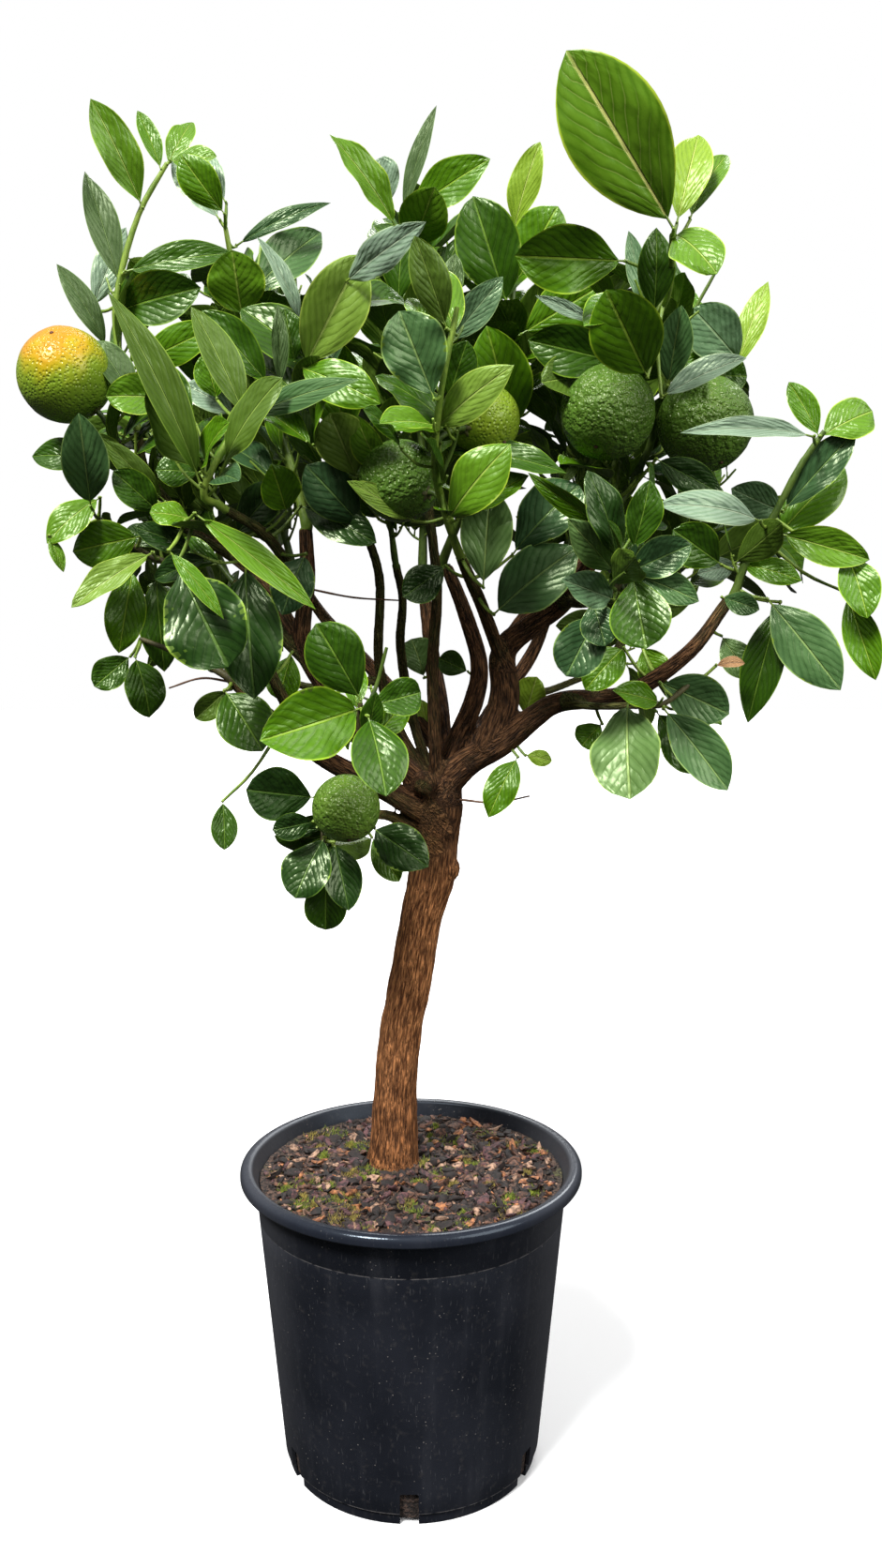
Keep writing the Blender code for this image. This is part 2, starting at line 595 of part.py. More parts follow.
class Crown:
    """Everything that has grown so far, and the test that keeps new growth clear of it."""

    def __init__(self, limbs):
        self.limbs = limbs
        self.solids = []
        self.pieces = {name: [] for name in MASSES}
        self.leaves = {name: [] for name in MASSES}
        self.twigs = {name: [] for name in MASSES}
        self.stems = {}
        for name, (path, radii) in limbs.items():
            self.remember(name, "limb", tube(path, radii, limb_sides(name), CLEARANCE * MM))

    def remember(self, mass, kind, shape):
        """Keeps a shape that later growth has to stay clear of."""
        verts, faces = shape
        centre = sum(verts, Vector()) / len(verts)
        reach = max((vert - centre).length for vert in verts)
        self.solids.append(Solid(mass, kind, centre, reach, BVHTree.FromPolygons(verts, faces)))

    def blocked(self, shape, skip):
        """True where a shape would cut something it doesn't grow on."""
        verts, faces = shape
        centre = sum(verts, Vector()) / len(verts)
        reach = max((vert - centre).length for vert in verts)
        tree = BVHTree.FromPolygons(verts, faces)
        for solid in self.solids:
            if (solid.mass, solid.kind) in skip:
                continue
            if (solid.centre - centre).length < solid.reach + reach and tree.overlap(solid.tree):
                return True
        return False

    def own_space(self, mass, point):
        """True where a point is nearer to its own mass's stem than to any other stem."""
        _, own = nearest_on(self.stems[mass], point)
        if own > MASSES[mass].reach * MM:
            return False
        return all(nearest_on(stem, point)[1] > own for name, stem in self.stems.items()
                   if name != mass)

    def free_part(self, path, radii):
        """A twig's tube, a little fat, without the stretch that sits in the stem."""
        start = path[0].lerp(path[1], 0.2)
        return tube([start] + path[1:], radii, TWIG_SIDES, CLEARANCE * MM)

    def add_stem(self, mass):
        """A mass's stem, starting clear of the tip of the limb that bears it."""
        spec = MASSES[mass]
        limb, limb_radii = self.limbs[spec.limb]
        ahead = (limb[-1] - limb[-2]).normalized()
        start = limb[-1] + ahead * GAP * MM
        path = smooth_path([start, start + ahead * 6 * MM] + [mm(point) for point in spec.stem], 1)
        radii = tapered(len(path), limb_radii[-1] / MM, STEM_TIP_RADIUS)
        self.stems[mass] = path
        self.add_twig(mass, path, radii)

    def add_twig(self, mass, path, radii):
        self.pieces[mass].append(tube(path, radii, TWIG_SIDES))
        self.twigs[mass].append((path, radii))
        self.remember(mass, "twig", tube(path, radii, TWIG_SIDES, CLEARANCE * MM))

    def add_leaf(self, mass, leaf):
        self.pieces[mass].append(leaf_solid(leaf))
        self.leaves[mass].append(leaf)
        self.remember(mass, "leaf", leaf_solid(leaf, False))

    def add_fruit(self, fruit):
        """A fruit on a short stalk from the nearest point of its mass's stem."""
        centre, radius = mm(fruit.centre), fruit.radius * MM
        spot, _ = nearest_on(self.stems[fruit.mass], centre)
        hold = (spot - centre).normalized()
        end = centre + hold * (radius - 4 * MM)
        self.pieces[fruit.mass].append(ball(centre, radius, 2))
        self.remember(fruit.mass, "fruit", ball(centre, radius + CLEARANCE * MM, 2))
        path = [spot, spot.lerp(end, 0.5) + UP * 2 * MM, end]
        self.add_twig(fruit.mass, path, tapered(3, 2.2, 2.4))

    def add_outline_leaf(self, mass, foot, tip, width):
        """A leaf with a place of its own, on a spur from the nearest point of the stem."""
        foot, tip = mm(foot), mm(tip)
        spot, away = nearest_on(self.stems[mass], foot)
        light = (foot - mm(CROWN_CENTRE)).normalized() + Vector(OUTLINE_LIGHT)
        leaf = make_leaf(foot, tip - foot, light, (tip - foot).length, width * MM)
        if self.blocked(leaf_solid(leaf, False, 2.0), {(mass, "twig")}):
            return False
        if away > 1.5 * MM:
            path = [spot, foot + (foot - spot).normalized() * MM]
            radii = tapered(2, TWIG_RADIUS, TWIG_TIP_RADIUS)
            if self.blocked(self.free_part(path, radii), {(mass, "twig")}):
                return False
            self.add_twig(mass, path, radii)
        self.add_leaf(mass, leaf)
        return True

    def grow_twigs(self, mass, rng):
        """Twigs spiral off the stem by the golden angle, each bending out and up to the light."""
        spec = MASSES[mass]
        stem = self.stems[mass]
        for count in range(spec.twigs):
            for _ in range(TRIES):
                along = 0.25 + 0.75 * (count + rng.random()) / spec.twigs
                start, ahead = place_on(stem, min(along, 0.99))
                turn = Matrix.Rotation(GOLDEN_ANGLE * count + rng.uniform(-0.6, 0.6), 3, ahead)
                out = turn @ ahead.orthogonal().normalized()
                outward = (start - mm(CROWN_CENTRE)).normalized()
                way = (out + ahead * 0.5 + outward * 0.5 + UP * 0.15).normalized()
                length = spec.reach * rng.uniform(0.45, 0.75) * MM
                bend = way + (outward + UP * 0.5) * 0.35
                path = [start, start + way * length * 0.5, start + bend.normalized() * length]
                radii = tapered(3, TWIG_RADIUS, TWIG_TIP_RADIUS)
                shape = self.free_part(path, radii)
                if self.own_space(mass, path[-1]) and not self.blocked(shape, {(mass, "twig")}):
                    self.add_twig(mass, path, radii)
                    self.grow_leaves(mass, path, rng, count)
                    break

    def grow_leaves(self, mass, path, rng, first):
        """Leaves spiral up a twig, and the last one carries on from its end."""
        spec = MASSES[mass]
        for count in range(LEAVES_A_TWIG):
            last = count == LEAVES_A_TWIG - 1
            foot, ahead = place_on(path, 0.32 + 0.68 * count / (LEAVES_A_TWIG - 1))
            for _ in range(TRIES):
                spread = math.radians(8 if last else rng.uniform(50, 68))
                turn = GOLDEN_ANGLE * (count + first) + rng.uniform(-0.9, 0.9)
                out = Matrix.Rotation(turn, 3, ahead) @ ahead.orthogonal().normalized()
                way = ahead * math.cos(spread) + out * math.sin(spread) - UP * 0.12
                light = (foot - mm(CROWN_CENTRE)).normalized() + UP * 0.5
                length = spec.leaf * rng.uniform(0.78, 1.12) * MM
                leaf = make_leaf(foot, way, light, length, length * rng.uniform(0.46, 0.58),
                                 rng.uniform(-0.5, 0.5), rng.uniform(0.2, 0.75))
                tip = leaf_point(leaf, 1.0, 0, 0.0)
                centre = leaf_point(leaf, 0.6, 0, 0.0)
                if not (self.own_space(mass, tip) and self.own_space(mass, centre)):
                    continue
                if self.blocked(leaf_solid(leaf, False, 2.0), {(mass, "twig")}):
                    continue
                self.add_leaf(mass, leaf)
                break


def grow_crown(limbs):
    """Stems and fruit come first, then the outline's leaves, and the rule fills what is free."""
    crown = Crown(limbs)
    for mass in MASSES:
        crown.add_stem(mass)
    for fruit in FRUITS:
        crown.add_fruit(fruit)
    for mass, rows in OUTLINE_LEAVES.items():
        for row in rows:
            if not crown.add_outline_leaf(mass, *row):
                print(f"{mass}: no room for the leaf at {row[0]}")
    for seed, mass in enumerate(MASSES):
        crown.grow_twigs(mass, random.Random(seed))
    return crown


def make_masses(crown):
    """Fuses each mass's stem, twigs, leaves and fruit into one solid."""
    green = material("foliage", (0.045, 0.13, 0.03), 0.4)
    for mass, pieces in crown.pieces.items():
        body = add_object(mass, *pieces[0], green)
        rest = new_collection(mass + "_pieces")
        for index, (verts, faces) in enumerate(pieces[1:]):
            add_object(f"{mass}_{index}", verts, faces, None, rest)
        apply_boolean(body, "UNION", rest)
        print(f"{mass}: {len(crown.leaves[mass])} leaves, {len(body.data.polygons)} faces")
    print("leaves in all:", sum(len(leaves) for leaves in crown.leaves.values()))


def main():
    for thing in list(bpy.data.objects):
        bpy.data.objects.remove(thing)
    make_pot()
    make_soil()
    limbs = limb_paths()
    make_limbs(limbs)
    make_masses(grow_crown(limbs))


main()
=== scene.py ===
# %% [markdown]
# # A potted citrus tree, leaf by leaf
#
# The solids of this tree are made already: a pot, its soil, a trunk, the boughs and one solid for
# each mass of foliage. They are coarse, because they stand for weight and collisions. This lesson
# dresses them. It grows the same tree again, from the same named sizes and by the same seeded
# rule, and this time the leaves get veins, the fruit gets pores and the limbs get bark.
#
# The frame is in metres with +Z up. The origin is under the middle of the pot.

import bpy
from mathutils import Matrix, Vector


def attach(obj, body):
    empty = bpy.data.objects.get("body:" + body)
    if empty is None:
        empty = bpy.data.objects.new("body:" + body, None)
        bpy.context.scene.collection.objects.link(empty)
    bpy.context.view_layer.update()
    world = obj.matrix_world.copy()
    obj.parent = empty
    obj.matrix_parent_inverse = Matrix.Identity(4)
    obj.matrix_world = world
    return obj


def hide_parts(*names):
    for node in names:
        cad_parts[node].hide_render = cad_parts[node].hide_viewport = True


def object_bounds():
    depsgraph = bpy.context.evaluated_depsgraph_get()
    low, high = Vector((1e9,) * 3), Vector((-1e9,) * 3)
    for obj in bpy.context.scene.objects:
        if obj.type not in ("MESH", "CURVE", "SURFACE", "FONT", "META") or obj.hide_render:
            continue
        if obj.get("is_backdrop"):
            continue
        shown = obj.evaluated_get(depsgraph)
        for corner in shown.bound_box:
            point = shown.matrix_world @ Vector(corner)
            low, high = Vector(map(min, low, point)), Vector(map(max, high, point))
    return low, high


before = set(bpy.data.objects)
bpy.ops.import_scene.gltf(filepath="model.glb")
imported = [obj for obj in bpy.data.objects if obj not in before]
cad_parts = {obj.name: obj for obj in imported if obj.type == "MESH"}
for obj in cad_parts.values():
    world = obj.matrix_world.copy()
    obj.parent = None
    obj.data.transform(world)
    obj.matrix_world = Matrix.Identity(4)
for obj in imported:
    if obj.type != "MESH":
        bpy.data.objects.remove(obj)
cad_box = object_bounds()
print("solids to dress:", len(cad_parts))

# %% Modules and units
import math
import random
from collections import namedtuple

import bmesh
import bpy
import numpy as np
from mathutils import Matrix, Vector, noise
from mathutils.bvhtree import BVHTree
from mathutils.kdtree import KDTree

MM = 0.001
UP = Vector((0, 0, 1))


def mm(point):
    """A point in millimetres as a vector in metres."""
    return Vector(point) * MM


def put_in_scene(name, data):
    """A new object that shows a mesh, a light or a camera."""
    thing = bpy.data.objects.new(name, data)
    bpy.context.scene.collection.objects.link(thing)
    return thing


# %% [markdown]
# ## Shader maths that reads as Python
#
# A leaf's veins, a fruit's pores and the dust on a pot are all sums of a few patterns. They could
# be wired up node by node, but a formula is easier to read and to change. So a small class wraps
# a socket and adds a Math node for each + - * and power, with the reversed forms of the first
# three, so that 1 - mask works. Colours aren't numbers, so they go through a Mix node instead.

# %% A socket that works in a sum
class Wire:
    """A value in a material, which can be used in a sum as a number can."""

    def __init__(self, finish, socket):
        self.finish = finish
        self.socket = socket

    def maths(self, operation, first, second=0.0):
        return self.finish.node("Math", {"operation": operation}, {0: first, 1: second})

    def __add__(self, other):
        return self.maths("ADD", self, other)

    def __sub__(self, other):
        return self.maths("SUBTRACT", self, other)

    def __rsub__(self, other):
        return self.maths("SUBTRACT", other, self)

    def __mul__(self, other):
        return self.maths("MULTIPLY", self, other)

    def __pow__(self, other):
        return self.maths("POWER", self, other)

    def __abs__(self):
        return self.maths("ABSOLUTE", self)

    __radd__ = __add__
    __rmul__ = __mul__

    def part(self):
        """What is left after the point, from 0 to 1."""
        return self.maths("FRACT", self)

    def rise(self, low, high):
        """0 under low and 1 over high, with a soft step between them."""
        return self.finish.node("MapRange", {"interpolation_type": "SMOOTHSTEP"},
                                {"Value": self, "From Min": low, "From Max": high})


# %% A material under the brush
class Finish:
    """A material while it is mixed: its shader, its nodes and what feeds them."""

    def __init__(self, name):
        self.material = bpy.data.materials.new(name)
        self.material.use_nodes = True
        self.tree = self.material.node_tree
        self.shader = self.tree.nodes["Principled BSDF"]

    def feed(self, socket, value):
        """Sets a socket to a number or a colour, or links a wire to it."""
        if isinstance(value, Wire):
            self.tree.links.new(value.socket, socket)
        elif socket.type == "RGBA":
            socket.default_value = (*value, 1.0)
        else:
            socket.default_value = value

    def node(self, kind, settings=None, values=None, output=0):
        """Any node: its settings go first, then the values or wires of its sockets."""
        made = self.tree.nodes.new("ShaderNode" + kind)
        for name, setting in (settings or {}).items():
            setattr(made, name, setting)
        for name, value in (values or {}).items():
            self.feed(made.inputs[name], value)
        return Wire(self, made.outputs[output])

    def split(self, place):
        """The three numbers of a place."""
        node = self.node("SeparateXYZ", values={0: place}).socket.node
        return [Wire(self, output) for output in node.outputs]

    def mix(self, share, first, second):
        """A colour between two others."""
        return self.node("Mix", {"data_type": "RGBA"}, {0: share, 6: first, 7: second}, 2)

    def stretched(self, place, by):
        """A place with each of its directions scaled."""
        return self.node("VectorMath", {"operation": "MULTIPLY"}, {0: place, 1: by})

    def clouds(self, place, scale, detail=3.0):
        """Soft noise from 0 to 1."""
        values = {"Vector": place, "Scale": scale, "Detail": detail}
        return self.node("TexNoise", {}, values, "Fac")

    def cells(self, place, scale):
        """The distance to the nearest of many scattered points."""
        return self.node("TexVoronoi", {}, {"Vector": place, "Scale": scale}, "Distance")

    def object_place(self):
        return self.node("TexCoord", output="Object")

    def shade(self, values):
        for name, value in values.items():
            self.feed(self.shader.inputs[name], value)

    def bump(self, height, depth):
        """Tilts the surface as a relief of that depth would."""
        relief = self.node("Bump", {}, {"Height": height, "Distance": depth}, "Normal")
        self.shade({"Normal": relief})


# %% [markdown]
# ## Camera
#
# The camera stands a little higher than the middle of the tree and looks slightly down, so the
# soil shows inside the rim of the pot. It uses a plain lens with no shift and no blur.

# %% Place the camera
CAMERA_SPOT = (0.0218, -0.943, 0.630)
CAMERA_DIP = math.radians(7.66)
PICTURE_HEIGHT = 1672
FOCAL_PIXELS = 1432
SENSOR = 36

lens = bpy.data.cameras.new("camera")
lens.sensor_width = SENSOR
lens.lens = SENSOR * FOCAL_PIXELS / PICTURE_HEIGHT
camera = put_in_scene("camera", lens)
camera.location = CAMERA_SPOT
camera.rotation_euler = (math.pi / 2 - CAMERA_DIP, 0, 0)
bpy.context.scene.camera = camera
print(f"lens: {lens.lens:.1f} mm")


# %% [markdown]
# ## The tree's own sizes
#
# A tree could be scattered at random, but then it wouldn't be this one. So its limbs are written
# down as a gardener would measure them: where each leaves its parent, the points that it passes
# and how thick it is. The values are in millimetres. Those of the limbs, the masses and the
# fruit are the ones that the solids use, and so are nearly all of the leaves', so everything that
# grows here ends up where the solids are.

# %% The trunk
SOIL_TOP = 214
GAP = 0.3
# Each row is a point and the radius there, from the flat cut at soil level to the head.
TRUNK_SIDES = 10
TRUNK = (
    ((-14, 17, SOIL_TOP + GAP), 21.5),
    ((-13.5, 17, 226), 18.2),
    ((-12, 17, 273), 16.0),
    ((-8, 17, 316), 15.6),
    ((0, 16, 359), 15.5),
    ((7, 13, 402), 15.1),
    ((14, 11, 431), 16.8),
    ((17, 9, 458), 17.2),
    ((18, 8, 486), 19.0),
    ((19, 7, 508), 17.5),
)

# %% The boughs
# Each bough: the limb it leaves, how far along that limb, the points it passes, its first and
# last radius. It starts on the centre line of its parent.
BOUGH_SIDES = 6
BOUGHS = {
    "right_bough": ("trunk", 0.96, ((41, 0, 519), (65, -10, 534), (86, -15, 552), (105, -20, 563),
        (147, -40, 570), (185, -55, 598), (210, -60, 633)), 11.5, 4.0),
    "centre_right_bough": ("right_bough", 0.20, ((66, -10, 564), (65, -15, 597), (85, -22, 616),
        (106, -32, 632), (125, -52, 664)), 12.0, 4.6),
    "centre_left_bough": ("trunk", 0.97, ((35, 22, 535), (46, 24, 562), (49, 26, 589),
        (38, 34, 626), (26, 40, 656)), 9.0, 4.5),
    "left_upright_bough": ("trunk", 0.95, ((-14, 2, 523), (-38, -7, 541), (-58, -14, 572),
        (-73, -18, 603), (-69, -20, 645), (-70, -18, 680)), 9.0, 4.8),
    "left_low_bough": ("trunk", 0.90, ((-20, -14, 503), (-55, -34, 524), (-85, -46, 548),
        (-116, -50, 578)), 9.5, 4.0),
    "back_centre_bough": ("trunk", 0.94, ((22, 42, 538), (15, 85, 590), (8, 112, 645)), 9.0, 4.6),
    "right_inner_bough": ("centre_right_bough", 0.42, ((80, 2, 618), (104, 6, 645), (128, 0, 668),
        (139, -12, 690)), 7.0, 4.0),
    "green_leader_bough": ("centre_right_bough", 0.36, ((50, -40, 626), (41, -62, 645),
        (34, -78, 660)), 5.0, 3.6),
    "centre_upright_bough": ("trunk", 0.98, ((17, -1, 545), (16, 0, 590), (19, 2, 640),
        (14, 10, 690), (9, 18, 735)), 5.0, 3.2),
    "thin_left_bough": ("trunk", 0.97, ((2, 22, 545), (-7, 18, 598), (-5, 4, 632), (-9, -14, 656)),
        4.2, 3.0),
    "left_slender_bough": ("trunk", 0.96, ((-9, 12, 542), (-22, 6, 588), (-21, -8, 650),
        (-38, -48, 700)), 4.4, 3.0),
    "left_high_bough": ("left_upright_bough", 0.62, ((-104, 2, 646), (-150, 6, 682), (-180, 2, 716),
        (-186, 0, 748)), 5.0, 3.2),
    "far_left_bough": ("left_high_bough", 0.45, ((-160, -18, 686), (-173, -30, 703)), 3.2, 2.6),
    "left_side_bough": ("left_upright_bough", 0.55, ((-104, -20, 622), (-138, -28, 640),
        (-158, -30, 654)), 4.0, 3.0),
    "front_left_bough": ("left_low_bough", 0.62, ((-90, -72, 590), (-98, -88, 646)), 4.4, 3.2),
    "front_left_upper_bough": ("left_upright_bough", 0.80, ((-90, -60, 672), (-112, -100, 688)),
        4.0, 3.2),
    "low_left_bough": ("trunk", 0.88, ((-14, -28, 498), (-27, -72, 522), (-29, -112, 540)),
        4.8, 3.0),
    "lowest_left_bough": ("trunk", 0.83, ((-14, -12, 482), (-32, -46, 486)), 4.4, 3.2),
    "front_right_bough": ("centre_right_bough", 0.74, ((114, -68, 630), (121, -96, 632)), 3.6, 2.8),
    "low_right_bough": ("right_bough", 0.46, ((122, -46, 562), (150, -70, 564)), 3.0, 2.6),
    "back_left_bough": ("back_centre_bough", 0.22, ((-25, 78, 575), (-66, 106, 616),
        (-88, 116, 646)), 6.2, 4.0),
    "back_right_bough": ("right_bough", 0.14, ((56, 45, 546), (90, 84, 590), (108, 102, 632)),
        7.0, 4.2),
    "back_low_left_bough": ("back_left_bough", 0.42, ((-78, 94, 566), (-108, 108, 576)), 3.6, 2.8),
    "back_low_right_bough": ("back_right_bough", 0.45, ((100, 92, 562), (132, 112, 572)), 3.6, 2.8),
    "side_right_bough": ("right_bough", 0.55, ((150, 10, 604), (172, 44, 626)), 4.0, 3.0),
    "side_left_bough": ("left_upright_bough", 0.48, ((-96, 28, 622), (-130, 56, 646)), 4.0, 3.0),
}

# %% The masses of foliage
# Each mass: the limb it grows from, the points its stem passes, how many twigs it has, the
# length of its leaves and how far from the stem they may reach.
Mass = namedtuple("Mass", "limb stem twigs leaf reach")
MASSES = {
    "top_left_spray": Mass("left_high_bough", ((-198, 0, 806), (-196, 0, 842), (-181, 0, 888),
        (-161, 0, 921)), 4, 74, 74),
    "left_fruit_spray": Mass("far_left_bough", ((-187, -30, 729), (-199, -27, 746)), 2, 60, 70),
    "left_low_spray": Mass("left_side_bough", ((-178, -30, 664), (-207, -30, 686)), 3, 56, 64),
    "left_under_spray": Mass("left_low_bough", ((-140, -44, 592), (-184, -18, 606)), 4, 58, 60),
    "big_dark_spray": Mass("front_left_bough", ((-112, -106, 670), (-132, -120, 680)), 3, 72, 78),
    "front_left_spray": Mass("front_left_upper_bough", ((-121, -120, 697), (-103, -121, 730),
        (-80, -120, 760)), 4, 80, 90),
    "upper_left_spray": Mass("left_upright_bough", ((-86, -4, 740), (-112, 8, 815), (-123, 0, 880)),
        6, 76, 90),
    "upper_front_left_spray": Mass("left_slender_bough", ((-57, -90, 745), (-56, -103, 776),
        (-36, -112, 816)), 6, 76, 84),
    "centre_inner_spray": Mass("thin_left_bough", ((-14, -34, 690), (-28, -44, 722)), 4, 62, 70),
    "top_centre_spray": Mass("centre_upright_bough", ((-1, 22, 812), (-5, 20, 886)), 7, 76, 84),
    "centre_front_spray": Mass("green_leader_bough", ((25, -98, 684), (18, -124, 712),
        (22, -144, 752), (31, -150, 797)), 4, 66, 76),
    "upper_centre_spray": Mass("centre_left_bough", ((52, 4, 734), (68, -8, 815), (73, 8, 880)),
        7, 74, 84),
    "crest_spray": Mass("centre_right_bough", ((136, -24, 700), (146, 4, 745), (152, -24, 792),
        (157, -110, 812), (150, -166, 832)), 4, 78, 80),
    "right_fruit_spray": Mass("right_inner_bough", ((163, -8, 734), (176, -20, 784), (207, 2, 812)),
        6, 72, 80),
    "right_shoot_spray": Mass("right_bough", ((221, -65, 664), (233, -70, 683), (248, -76, 715),
        (262, -80, 737)), 4, 72, 76),
    "right_middle_spray": Mass("front_right_bough", ((129, -114, 638), (137, -120, 662)),
        4, 60, 68),
    "low_right_spray": Mass("low_right_bough", ((166, -78, 566), (182, -76, 578)), 2, 64, 66),
    "low_left_spray": Mass("low_left_bough", ((-28, -124, 552), (-27, -131, 570)), 1, 60, 66),
    "lowest_left_spray": Mass("lowest_left_bough", ((-53, -76, 486), (-56, -80, 466)), 2, 46, 60),
    "back_top_spray": Mass("back_centre_bough", ((8, 116, 720), (4, 100, 800), (6, 84, 870)),
        7, 78, 92),
    "back_left_spray": Mass("back_left_bough", ((-104, 124, 700), (-112, 120, 770),
        (-108, 104, 826)), 6, 76, 92),
    "back_right_spray": Mass("back_right_bough", ((122, 108, 690), (132, 96, 765), (128, 74, 832)),
        6, 76, 92),
    "back_low_left_spray": Mass("back_low_left_bough", ((-136, 118, 592), (-160, 122, 622)),
        4, 66, 76),
    "back_low_right_spray": Mass("back_low_right_bough", ((156, 122, 588), (178, 120, 616)),
        4, 66, 76),
    "side_right_spray": Mass("side_right_bough", ((200, 62, 668), (218, 58, 724)), 5, 72, 84),
    "side_left_spray": Mass("side_left_bough", ((-166, 76, 690), (-184, 70, 744)), 5, 72, 84),
}

# %% The fruit
# Fruit that shows: its mass, centre, radius, the way its blossom end looks, how ripe its skin is,
# how much riper it gets towards the blossom end, and how bumpy it is.
Fruit = namedtuple("Fruit", "mass centre radius way ripe blush bumps")
FRUITS = (
    Fruit("left_fruit_spray", (-226, -30, 779), 31.0, (-0.1, -0.6, 0.8), 0.42, 1.75, 0.5),
    Fruit("right_fruit_spray", (129, -55, 752), 30.5, (-0.3, -0.5, -0.8), 0.10, 0.0, 1.3),
    Fruit("right_fruit_spray", (194, -45, 746), 31.0, (0.3, -0.4, -0.9), 0.12, 0.0, 1.3),
    Fruit("centre_front_spray", (-4, -84, 706), 25.5, (-0.4, -0.5, -0.7), 0.05, 0.0, 1.0),
    Fruit("centre_front_spray", (48, -92, 742), 22.5, (0.5, -0.4, -0.6), 0.85, 0.0, 0.4),
    Fruit("lowest_left_spray", (-38, -106, 502), 21.5, (0.1, -0.4, -0.9), 0.25, 0.0, 0.6),
)
